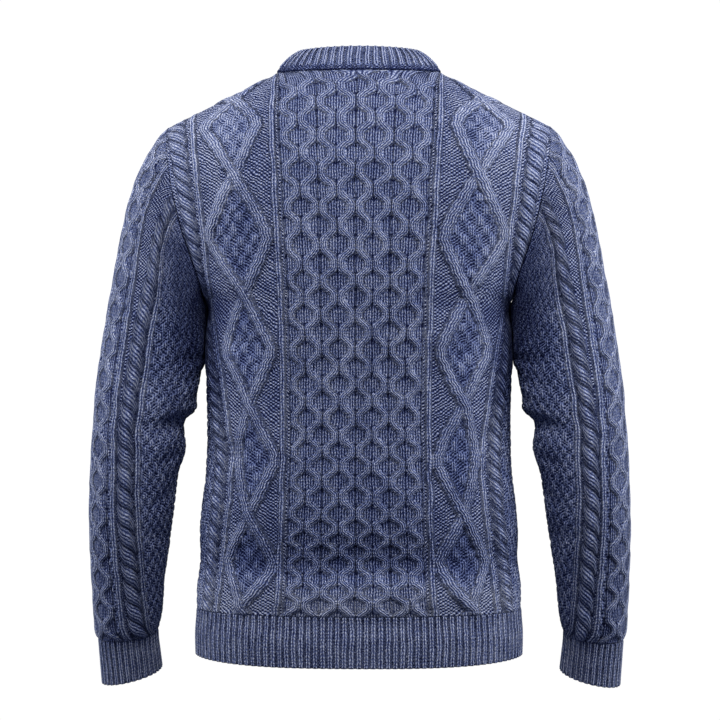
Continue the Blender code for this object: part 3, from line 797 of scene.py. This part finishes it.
# The arithmetic of a stitch's shade: each result's name, the operation, and what it takes
STITCH_SHADE = (
    # No two stitches are quite the same size
    ("drift_across", "SUBTRACT", "drift_x", 0.5),
    ("drift_along", "SUBTRACT", "drift_y", 0.5),
    ("leg_place", "MULTIPLY_ADD", "drift_across", 0.5, "across"),
    ("row_place", "MULTIPLY_ADD", "drift_along", 1.0, "along"),
    # Knit: a light line down each leg with painted shade in the gaps beside it, broken where the legs
    # of one stitch rise out of the last
    ("leg_turn", "MULTIPLY", "leg_place", np.pi),
    ("leg_sine", "SINE", "leg_turn"),
    ("leg_cosine", "COSINE", "leg_turn"),
    ("leg_height", "ABSOLUTE", "leg_sine"),
    ("leg", "POWER", "leg_height", 1.4),
    ("row_turn", "MULTIPLY", "row_place", 2.0 * np.pi),
    ("bowed", "MULTIPLY_ADD", "leg_cosine", 2.2, "row_turn"),
    ("rising", "COSINE", "bowed"),
    ("strength", "MULTIPLY_ADD", "rising", 0.20, 0.66),
    ("knit", "MULTIPLY_ADD", "leg", "strength", 0.08),
    # Purl: bumps laid like bricks, lighter on top with painted shade between, which read as rows that
    # slant to one side
    ("row_sine", "SINE", "row_turn"),
    ("row_cosine", "COSINE", "row_turn"),
    ("upright", "MULTIPLY", "leg_cosine", "row_cosine"),
    ("slanted", "MULTIPLY", "leg_sine", "row_sine"),
    ("bumps", "MULTIPLY_ADD", "slanted", "lean", "upright"),
    ("bump_height", "MULTIPLY_ADD", "bumps", 0.57, 0.42),
    ("difference", "SUBTRACT", "bump_height", "knit"),
    ("stitch", "MULTIPLY_ADD", "purl", "difference", "knit"),
    # The stitch, then the flecks of its fibres, the dye's patches, and the painted shade and painted
    # light laid here
    ("fleck", "SUBTRACT", "flecks", 0.5),
    ("patch", "SUBTRACT", "patches", 0.5),
    ("shade_1", "MULTIPLY_ADD", "stitch", 1.02, -0.06),
    ("shade_2", "MULTIPLY_ADD", "fleck", 0.80, "shade_1"),
    ("shade_3", "MULTIPLY_ADD", "patch", 0.45, "shade_2"),
    ("shade_4", "ADD", "shade_3", "tone"),
    ("shade", "MULTIPLY_ADD", "painted_shade", -0.75, "shade_4"),
    ("yarn_height", "MULTIPLY_ADD", "flecks", 0.6, "stitch"),
)


def marled_wool(name, light, middle, deep, fleck_size):
    """Dry, matt wool spun from light and dark blue fibres.

    Each leg of a stitch shows as a light stroke with painted shade in the gaps round it, the yarn is
    flecked lighter and darker along its length, and painted shade takes it almost navy down in the
    creases.
    """
    material = bpy.data.materials.new(name)
    material.use_nodes = True
    tree = material.node_tree
    place = add_node(tree, "TexCoord", {}, "Object")
    # The fibres' flecks are drawn out up and down the garment, as the yarn mostly runs
    drawn_out = add_node(tree, "VectorMath", {0: place, 1: (1.0, 1.0, 0.6)}, operation="MULTIPLY")
    values = {
        "flecks": add_node(tree, "TexNoise", {"Vector": drawn_out, "Scale": 1.0 / fleck_size,
                                              "Detail": 1.0, "Roughness": 0.6}),
        "patches": add_node(tree, "TexNoise", {"Vector": place, "Scale": 1.0 / DYE_PATCH,
                                               "Detail": 2.0, "Roughness": 0.5}),
    }
    drift = add_node(tree, "TexNoise", {"Vector": place, "Scale": 1.0 / STITCH_DRIFT, "Detail": 0.0},
                     "Color")
    stitches, shade = (add_node(tree, "Attribute", {}, "Vector", attribute_name=attribute)
                       for attribute in ("stitches", "shade"))
    for vector, names in ((drift, ("drift_x", "drift_y")), (stitches, ("across", "along", "purl")),
                          (shade, ("painted_shade", "tone", "lean"))):
        for axis, part in zip("XYZ", names):
            values[part] = add_node(tree, "SeparateXYZ", {0: vector}, axis)
    for result, operation, *takes in STITCH_SHADE:
        inputs = {at: values.get(take, take) for at, take in enumerate(takes)}
        values[result] = add_node(tree, "Math", inputs, operation=operation)

    # From the deep colour, for dark fibres and painted shade, up to the light one, for light fibres and
    # painted light
    colour = add_node(tree, "ValToRGB", {0: values["shade"]}, "Color")
    ramp = colour.node.color_ramp
    ramp.elements[0].position, ramp.elements[0].color = 0.0, (*deep, 1.0)
    ramp.elements[1].position, ramp.elements[1].color = 0.95, (*light, 1.0)
    ramp.elements.new(0.45).color = (*middle, 1.0)
    bump = add_node(tree, "Bump", {"Strength": 1.0, "Distance": STITCH_HEIGHT,
                                   "Height": values["yarn_height"]}, "Normal")
    shader = tree.nodes["Principled BSDF"]
    tree.links.new(colour, shader.inputs["Base Color"])
    tree.links.new(bump, shader.inputs["Normal"])
    shader.inputs["Roughness"].default_value = 0.92
    shader.inputs["Specular IOR Level"].default_value = 0.03
    shader.inputs["Sheen Weight"].default_value = 0.02
    shader.inputs["Sheen Roughness"].default_value = 0.5
    shader.inputs["Sheen Tint"].default_value = (*light, 1.0)
    return material


def wool(context, name):
    """The garment's wool, made once for each slot."""
    if name in bpy.data.materials:
        return bpy.data.materials[name]
    yarn = context.scene.sweater_yarn
    return marled_wool(name, yarn.light, yarn.middle, yarn.deep, yarn.fleck_size)


# ---- The pieces ----

def body_places(side):
    """The back's or front's outer grid, from the welt seam up to the shoulder seam."""
    body = np.linspace(WELT_TOP, UNDERARM_HEIGHT, BODY_ROWS + 1)
    armhole = np.linspace(UNDERARM_HEIGHT, -SHOULDER_DROP, ARMHOLE_ROWS + 1)
    heights = np.concatenate([body[:-1], armhole])
    places = np.array([whole_row(torso_row(side, height, NECK_COLUMNS, SHOULDER_COLUMNS), side)
                       for height in heights])
    places[..., 1] += side * HALF_GAP
    return pushed(places, False, body_folds(places))


def body_folds(places):
    """How far the folds move each point of the back or front, none at its edges."""
    right, from_edge = across_the_cloth(places)
    up = places[..., 2]
    all_round = sum(soft_fold(right, up, *fold) for fold in BODY_FOLDS[:2])
    short = sum(soft_fold(right, up, *fold) for fold in BODY_FOLDS[2:])
    amount = all_round + short * blend(from_edge, 0.0, 0.020)
    return amount * blend(up, WELT_TOP - 0.003, WELT_TOP + 0.018)


def cloth_height(places, start):
    """Heights, but measured up the cloth itself above the start, where it rounds over."""
    z = places[..., 2]
    gone = travelled(places)
    begun = np.array([np.interp(start, z[:, column], gone[:, column]) for column in range(z.shape[1])])
    return np.where(z > start, start + gone - begun, z)


def line_distance(places, right, pairs):
    """How far along each row a line of the pattern lies from the centre line."""
    middle = places.shape[1] // 2
    found = []
    for row, reach in zip(places[:, middle:], right[:, middle:]):
        ahead = np.abs(row[:, 0]) - read_pairs(pairs, row[:, 2])
        found.append(np.interp(0.0, ahead, reach))
    return np.array(found)[:, None]


def knit_body(side):
    """Honeycomb down the middle, then ridge, diamonds, ridge, rope, and moss at the side."""
    knit = Knitting(body_places(side), closed=False)
    places = knit.places
    aside, z = np.abs(places[..., 0]), places[..., 2]
    right, from_edge = across_the_cloth(places)
    up = cloth_height(places, -0.150)
    knit.inside_across = right / LEG
    knit.lean = np.tanh(right / 0.03) * 0.32 + 0.20 * wobble(right, up, 0.05, 0.4)
    at, row = uneven(right, up, 0.0006, (0.7, 5.2))
    distance = np.abs(at)
    inner_ridge, outer_ridge, *diamond_lines = (
        line_distance(places, right, pairs)
        for pairs in (INNER_RIDGE, OUTER_RIDGE, CROSSINGS, OUTER_BENDS, INNER_BENDS))

    lay_purl(knit, EVERYWHERE, at, row)
    rope_middle = outer_ridge + BODY_ROPE_PLACE
    under_arm = distance > rope_middle + 0.0165
    knit.clear(under_arm)
    lay_moss(knit, under_arm, at, row, 2 * LEG, 0.0100, 0.14)
    between = (distance > inner_ridge - 0.0020) & (distance < outer_ridge + 0.0020)
    for outward in (-1, 1):
        half = right * outward > 0
        lay_diamonds(knit, between & half, at, row, *diamond_lines, outward)
        beside = half & (np.abs(distance - rope_middle) < 0.016)
        lay_rope(knit, beside, at - outward * rope_middle, row, **BODY_ROPE)
    half_width = inner_ridge - GUTTER
    steps = np.arange(len(HONEYCOMB_ROWS)) + HONEYCOMB_FIRST
    phase = np.interp(-row, -np.array(HONEYCOMB_ROWS), steps)
    phase = phase - np.clip(row - HONEYCOMB_ROWS[0], 0.0, HONEYCOMB_ABOVE) / CELL_ROW
    lay_honeycomb(knit, at, row, half_width, BODY_CELLS, phase, 0.15, HONEYCOMB_FIRST)
    for ridge in (inner_ridge, outer_ridge):
        lay_ridge(knit, distance - ridge, row)

    knit.rise += 0.0003 * wobble(right, up, 0.045, 2.0)
    from_top = travelled(places[::-1])[::-1]
    at_shoulder = blend(aside[-1], NECK_HALF_WIDTH - 0.012, NECK_HALF_WIDTH + 0.006)
    below_neck = 0.006 if side > 0 else 0.020
    knit.flatten(from_top, below_neck + (0.050 - below_neck) * at_shoulder, 0.12)
    knit.press(from_top, 0.003, 0.0010, 0.15)
    knit.press(up - WELT_TOP, 0.002, 0.0006, 0.05)
    below_armhole = 1.0 - blend(z, UNDERARM_HEIGHT - 0.004, UNDERARM_HEIGHT)
    knit.flatten(from_edge, 0.014, 0.3)
    knit.press(from_edge + below_armhole * 0.002, 0.004, 0.0009, 0.2)

    measures = {"height": z, "aside": aside}
    for amount, ranges in BODY_PAINTED_LIGHT_AND_SHADE:
        here = [blend(measures[name], start, end) for name, start, end in ranges]
        knit.tone += amount * np.prod(here, axis=0)
    # Painted shade along the deepest line of the fold above the hem, and less painted shade in the
    # creases below that
    knit.tone -= 0.08 * bell(z + 0.553, 0.014)
    knit.painted_shade *= 1.0 - 0.45 * blend(z, -0.562, -0.582)
    # Less painted shade in the gutters beside the honeycomb
    gutter = (distance > half_width + PAST_EDGE) & (distance < inner_ridge - RIDGE_HALF_WIDTH)
    knit.painted_shade = np.where(gutter, knit.painted_shade - 0.18, knit.painted_shade)
    settle_beside_sleeve(knit)
    return knit


def settle_beside_sleeve(knit):
    """Evens out the stitches where body and sleeve lie against each other, below the underarm, and
    paints shade on the body's side beside the sleeve.
    """
    z = knit.places[..., 2]
    facing = blend(np.abs(knit.normals[..., 0]), 0.55, 0.9)
    share = facing * blend(z, -0.350, -0.335) * blend(z, -0.235, -0.262)
    knit.rise = knit.rise * (1.0 - share) + BESIDE_SLEEVE * share
    knit.tone -= 0.35 * facing * blend(z, -0.420, -0.350) * blend(z, -0.200, -0.250)


def sleeve_folds(places, rings):
    """How far the folds move each point of the sleeve, none at its ends."""
    right, _ = round_the_tube(places)
    down = travelled(places[::-1])[::-1][:, :1]
    amount = sum(soft_fold(right, down, *fold) for fold in SLEEVE_FOLDS)
    return amount * blend(rings, 1.0, 3.0) * blend(rings, 17.5, 16.0)


def sleeve_places():
    """The sleeve's outer grid from the cuff seam up to the armhole, and each row's ring number."""
    dense_rings = np.linspace(0.0, len(SLEEVE) - 1.0, 800)
    knots = np.arange(len(SLEEVE), dtype=float)
    inner_line, outer_line = (
        np.stack([curve_through(knots, SLEEVE[:, column], dense_rings) for column in pair], axis=1)
        for pair in ((0, 1), (2, 3)))
    gone = 0.35 * travelled(inner_line) + 0.65 * travelled(outer_line)
    rings = np.interp(np.linspace(gone[-1], 0.0, SLEEVE_ROWS + 1), gone, dense_rings)
    places = tube_places(SLEEVE, rings, SLEEVE_COLUMN_COUNT, SLEEVE_SETTLED)
    places[-1, :, 0] += HALF_GAP
    places[0, :, 2] += HALF_GAP
    rings = rings[:, None]
    return pushed(places, True, sleeve_folds(places, rings)), rings


def knit_sleeve(places, rings, mirrored):
    """Honeycomb down the outside, then ridge, rope, ridge, and moss under the arm.

    The ropes cross the same way on both arms.
    """
    right, perimeter = round_the_tube(places)
    up = travelled(places)
    if mirrored:
        places, right, up = places[:, ::-1] * (-1, 1, 1), -right[:, ::-1], up[:, ::-1]
    knit = Knitting(places, closed=True)
    knit.inside_across = right / LEG
    knit.lean = 0.5 * wobble(right, up, 0.03, 0.4)
    at, row = uneven(right, up, 0.0005, (1.3, 4.4))
    distance = np.abs(at)
    outer_ridge = read_pairs(SLEEVE_OUTER_RIDGE, rings)
    inner_ridge = read_pairs(SLEEVE_INNER_RIDGE, rings)
    lay_moss(knit, EVERYWHERE, at, row, 2 * LEG, 0.0090, 0.08)
    between = (distance > outer_ridge) & (distance < inner_ridge)
    knit.clear(between)
    lay_purl(knit, between, at, row)
    rope_middle = inner_ridge + SLEEVE_ROPE_PLACE
    for outward in (-1, 1):
        beside = between & (right * outward > 0)
        lay_rope(knit, beside, at - outward * rope_middle, row, **SLEEVE_ROPE)
    lay_honeycomb(knit, at, row, outer_ridge - GUTTER, SLEEVE_CELLS, -row / CELL_ROW, 0.30)
    for ridge in (outer_ridge, inner_ridge):
        lay_ridge(knit, distance - ridge, row)

    knit.rise += 0.0003 * wobble(right, up, 0.045, 2.0)
    knit.flatten(up[-1:] - up, 0.022, 0.3)
    knit.press(up[-1:] - up, 0.004, 0.0009, 0.2)
    knit.press(up, 0.003, 0.0006, 0.15)
    round_share = distance / perimeter
    x, z = np.abs(places[..., 0]), places[..., 2]
    share = blend(round_share, 0.40, 0.465) * blend(z, -0.346, -0.332)
    to_the_body = x - torso_size("half_width", z) - BESIDE_SLEEVE - 0.0001
    knit.rise = knit.rise * (1.0 - share) + np.clip(to_the_body, -0.002, 0.003) * share
    # Painted shade on the upper sleeve's side towards the body, and painted light down its outer line
    knit.tone -= 0.31 * blend(round_share, 0.22, 0.42) * blend(rings, 9.5, 7.0)
    knit.tone += 0.15 * blend(round_share, 0.18, 0.10)
    return knit


def neckband_places():
    """The neckband's outer grid, from the neck seam in to the free edge."""
    edges = []
    for side in (+1, -1):
        half = torso_row(side, -SHOULDER_DROP, NECK_COLUMNS, SHOULDER_COLUMNS)[:NECK_COLUMNS + 1]
        edge = whole_row(half, side)
        edge[:, 1] += side * HALF_GAP
        edges.append(edge)
    back, front = edges
    loop = np.concatenate([back, front[1:-1], back[:1]])
    base = spaced_evenly(loop, BAND_RIBS * COLUMNS_IN_BAND_RIB)[:-1]
    angle = np.arctan2(base[:, 1], base[:, 0])
    at_back = np.sin(angle) > 0
    reach = np.where(at_back, BAND_BACK, -BAND_FRONT)
    end_height = np.where(at_back, BAND_BACK_HEIGHT, BAND_FRONT_HEIGHT)
    towards_side = 1.0 - np.abs(np.sin(angle)) ** BAND_DIP_POWER
    free = np.stack([BAND_HALF_WIDTH * np.cos(angle), reach * np.sin(angle),
                     end_height + (BAND_SIDE_HEIGHT - end_height) * towards_side], axis=1)
    share = np.linspace(0.0, 1.0, BAND_ROWS + 1)[:, None, None]
    places = base + (free - base) * share
    places[..., 2] += BAND_CROWN * np.sin(np.pi * share[..., 0])
    places[0] += SEAM_GAP * (free - base) / np.linalg.norm(free - base, axis=1, keepdims=True)
    return places


def knit_neckband():
    """Single rib, with the seam's own chain of stitches along its base."""
    knit = Knitting(neckband_places(), closed=True)
    up = travelled(knit.places)
    ribs = np.arange(up.shape[1])[None, :] / COLUMNS_IN_BAND_RIB * np.ones_like(up)
    lay_ribs(knit, ribs, up, **RIBS["neckband"])
    chain = 1.0 - blend(up, 0.0055, 0.0075)
    beads = 0.5 + 0.5 * np.sin(2.0 * np.pi * ribs * 2.0) * np.sin(2.0 * np.pi * up / 0.0036)
    knit.rise = knit.rise * (1.0 - chain) + (-0.0012 + 0.0012 * beads) * chain
    knit.purl = np.maximum(knit.purl, chain)
    # Painted shade between the beads of the seam's chain
    knit.painted_shade = knit.painted_shade * (1.0 - chain) + (0.70 - 0.65 * beads) * chain
    knit.press(up, 0.0015, 0.0010, 0.7)
    free_edge = unit((up[-1:] - up) / 0.0035)
    knit.rise = (knit.rise + 0.0014) * free_edge - 0.0004 * (1.0 - free_edge)
    return knit


def knit_welt(side):
    """Single rib below the body, drawn in a little."""
    top = whole_row(torso_row(side, WELT_TOP, 2 * WELT_RIBS, 2 * WELT_RIBS), side)
    x, y, _ = spaced_evenly(top, WELT_RIBS * COLUMNS_IN_RIB).T
    hem = HEM_SIDE - HEM_DIP * (1.0 - np.abs(x / np.abs(x).max()) ** HEM_DIP_POWER)
    z = hem + np.linspace(0.0, 1.0, WELT_ROWS + 1)[:, None] * (WELT_TOP - hem)
    wide, deep = (torso_size(name, z) / torso_size(name, WELT_TOP)
                  for name in ("half_width", "back" if side > 0 else "front"))
    places = np.stack([x * wide, y * deep + side * HALF_GAP, z], axis=2)
    places[-1, :, 2] -= HALF_GAP
    knit = Knitting(places, closed=False)
    up = places[..., 2]
    ribs = (np.arange(up.shape[1])[None, :] / COLUMNS_IN_RIB + 0.5) * np.ones_like(up)
    lay_ribs(knit, ribs, up, **RIBS["welt"])
    knit.press(WELT_TOP - up, 0.0025, 0.0008, 0.10)
    return knit


def knit_cuff(mirrored):
    """Single rib at the end of the sleeve."""
    rings = np.linspace(len(CUFF) - 1.0, 0.0, CUFF_ROWS + 1)
    places = tube_places(CUFF, rings, CUFF_RIBS * COLUMNS_IN_RIB)
    places[-1, :, 2] -= HALF_GAP
    if mirrored:
        places = places[:, ::-1] * (-1, 1, 1)
    knit = Knitting(places, closed=True)
    up = travelled(places)
    ribs = np.arange(up.shape[1])[None, :] / COLUMNS_IN_RIB * np.ones_like(up)
    lay_ribs(knit, ribs, up, **RIBS["cuff"])
    knit.press(up[-1:] - up, 0.0025, 0.0008, 0.2)
    # Painted light: the whole cuff a little lighter
    knit.tone += 0.05
    return knit


# ---- The stage ----

def add_floor(stage):
    """A plain white floor, far enough down to be out of the garment's shadow."""
    for thing in bpy.context.selected_objects:
        thing.select_set(False)
    bpy.ops.mesh.primitive_circle_add(vertices=96, radius=6.7, fill_type="NGON",
                                      location=(0.0, 0.0, stage.floor_height))
    floor = bpy.context.active_object
    floor.name = "floor"
    floor.visible_diffuse = False
    paint = bpy.data.materials.new("lit_white_acrylic_floor")
    paint.use_nodes = True
    shader = paint.node_tree.nodes["Principled BSDF"]
    shader.inputs["Base Color"].default_value = (0.9, 0.9, 0.9, 1.0)
    shader.inputs["Roughness"].default_value = 1.0
    shader.inputs["Specular IOR Level"].default_value = 0.0
    shader.inputs["Emission Color"].default_value = (1.0, 1.0, 1.0, 1.0)
    shader.inputs["Emission Strength"].default_value = 0.9
    floor.data.materials.append(paint)


def add_light(context):
    """A white backdrop and soft boxes: one high over the camera, one each side, one opposite."""
    world = bpy.data.worlds.new("white_studio")
    context.scene.world = world
    world.use_nodes = True
    tree = world.node_tree
    background = tree.nodes["Background"]
    seen = add_node(tree, "LightPath", {}, "Is Camera Ray")
    ends = {0: seen, 6: (*linear(AMBIENT), 1.0), 7: (1.0, 1.0, 1.0, 1.0)}
    tree.links.new(add_node(tree, "Mix", ends, 2, data_type="RGBA"), background.inputs["Color"])
    rise = {0: seen, 1: BACKDROP_STRENGTH - AMBIENT_STRENGTH, 2: AMBIENT_STRENGTH}
    strength = add_node(tree, "Math", rise, operation="MULTIPLY_ADD")
    tree.links.new(strength, background.inputs["Strength"])
    for name, place, size, power, spread, height, colour in LIGHTS:
        light = bpy.data.lights.new(name, "AREA")
        light.energy = power
        light.color = linear(colour)
        light.size = size
        light.spread = np.radians(spread)
        lamp = bpy.data.objects.new(name, light)
        lamp.location = place
        aim = Vector((0.0, 0.0, height)) - Vector(place)
        lamp.rotation_euler = aim.to_track_quat("-Z", "Y").to_euler()
        context.scene.collection.objects.link(lamp)
    context.scene.view_settings.view_transform = "Standard"


def add_camera(context, stage):
    """Level, behind the garment, as far off as the photo's perspective says."""
    data = bpy.data.cameras.new("camera")
    data.sensor_width = 36.0
    data.lens = stage.lens
    data.shift_x = 0.0015
    data.clip_end = 200.0
    camera = bpy.data.objects.new("camera", data)
    camera.location = (-stage.distance * np.sin(stage.turn), stage.distance * np.cos(stage.turn),
                       stage.height)
    camera.rotation_euler = (np.pi / 2, 0.0, np.pi + stage.turn)
    context.scene.collection.objects.link(camera)
    context.scene.camera = camera


# ---- The add-on ----

def colour_property(name, description, hex_colour):
    """A colour in the panel, with its default as sRGB hex."""
    return FloatVectorProperty(name=name, description=description, default=linear(hex_colour),
                               subtype="COLOR", min=0.0, max=1.0)


class SweaterYarn(bpy.types.PropertyGroup):
    """Colours and grain of the yarn. The light colour is also the painted light on top of the stitches,
    and the deep one the painted shade down in the creases.
    """
    light: colour_property("Light", "Pale fibres, on top of the stitches", "b5bcd2")
    middle: colour_property("Middle", "The yarn's body colour", "5d6a96")
    deep: colour_property("Deep", "The yarn down in the creases", "151c40")
    fleck_size: FloatProperty(
        name="Fleck Size", description="Length of the light and dark flecks",
        default=0.0014, min=0.0005, max=0.02, precision=4, unit="LENGTH")


class SweaterStage(bpy.types.PropertyGroup):
    """Camera and floor."""
    distance: FloatProperty(
        name="Camera Distance", description="From the camera to the garment's middle",
        default=2.7, min=1.0, max=10.0, unit="LENGTH")
    height: FloatProperty(
        name="Camera Height", description="The camera looks level from this height",
        default=-0.3302, min=-2.0, max=2.0, unit="LENGTH")
    turn: FloatProperty(
        name="Turn", description="How far the garment is turned from square to the camera",
        default=np.radians(2.0), min=-3.2, max=3.2, subtype="ANGLE")
    lens: FloatProperty(
        name="Lens", description="Focal length on a 36 mm wide sensor",
        default=117.4, min=20.0, max=300.0, subtype="DISTANCE_CAMERA")
    floor_height: FloatProperty(
        name="Floor Height", description="Well below the hanging garment",
        default=-1.80, min=-5.0, max=0.0, unit="LENGTH")


class KNIT_OT_body(bpy.types.Operator):
    """Knit the back and the front"""
    bl_idname = "knit.body"
    bl_label = "Back and Front"

    def execute(self, context):
        for side, name in ((+1, "back"), (-1, "front")):
            add_piece(context, name, knit_body(side), "cable_knit")
        return {"FINISHED"}


class KNIT_OT_sleeves(bpy.types.Operator):
    """Knit the two sleeves"""
    bl_idname = "knit.sleeves"
    bl_label = "Sleeves"

    def execute(self, context):
        places, rings = sleeve_places()
        for mirrored, name in ((False, "sleeve_left"), (True, "sleeve_right")):
            add_piece(context, name, knit_sleeve(places, rings, mirrored), "cable_knit")
        return {"FINISHED"}


class KNIT_OT_neckband(bpy.types.Operator):
    """Knit the neckband"""
    bl_idname = "knit.neckband"
    bl_label = "Neckband"

    def execute(self, context):
        add_piece(context, "neckband", knit_neckband(), "rib_knit")
        return {"FINISHED"}


class KNIT_OT_welts(bpy.types.Operator):
    """Knit the welts below the back and the front"""
    bl_idname = "knit.welts"
    bl_label = "Welts"

    def execute(self, context):
        for side, name in ((+1, "welt_back"), (-1, "welt_front")):
            add_piece(context, name, knit_welt(side), "rib_knit")
        return {"FINISHED"}


class KNIT_OT_cuffs(bpy.types.Operator):
    """Knit the two cuffs"""
    bl_idname = "knit.cuffs"
    bl_label = "Cuffs"

    def execute(self, context):
        for mirrored, name in ((False, "cuff_left"), (True, "cuff_right")):
            add_piece(context, name, knit_cuff(mirrored), "rib_knit")
        return {"FINISHED"}


class KNIT_OT_stage(bpy.types.Operator):
    """Set the floor, the lights and the camera"""
    bl_idname = "knit.stage"
    bl_label = "Floor, Light and Camera"

    def execute(self, context):
        stage = context.scene.sweater_stage
        add_floor(stage)
        add_light(context)
        add_camera(context, stage)
        return {"FINISHED"}


class KNIT_PT_sweater(bpy.types.Panel):
    """Lists the steps in the 3D view's sidebar"""
    bl_idname = "KNIT_PT_sweater"
    bl_label = "Aran Sweater"
    bl_space_type = "VIEW_3D"
    bl_region_type = "UI"
    bl_category = "Knitwear"

    def draw(self, context):
        layout = self.layout
        for operator in OPERATORS:
            layout.operator(operator.bl_idname)
        for group in (context.scene.sweater_yarn, context.scene.sweater_stage):
            box = layout.box()
            for name in group.__annotations__:
                box.prop(group, name)


OPERATORS = (KNIT_OT_body, KNIT_OT_sleeves, KNIT_OT_neckband, KNIT_OT_welts, KNIT_OT_cuffs,
             KNIT_OT_stage)
CLASSES = (SweaterYarn, SweaterStage, *OPERATORS, KNIT_PT_sweater)


def register():
    for cls in CLASSES:
        bpy.utils.register_class(cls)
    bpy.types.Scene.sweater_yarn = PointerProperty(type=SweaterYarn)
    bpy.types.Scene.sweater_stage = PointerProperty(type=SweaterStage)


def unregister():
    del bpy.types.Scene.sweater_stage
    del bpy.types.Scene.sweater_yarn
    for cls in reversed(CLASSES):
        bpy.utils.unregister_class(cls)


def main():
    """Runs every step in order."""
    register()
    bpy.ops.knit.body()
    bpy.ops.knit.sleeves()
    bpy.ops.knit.neckband()
    bpy.ops.knit.welts()
    bpy.ops.knit.cuffs()
    bpy.ops.knit.stage()


if __name__ == "__main__":
    main()
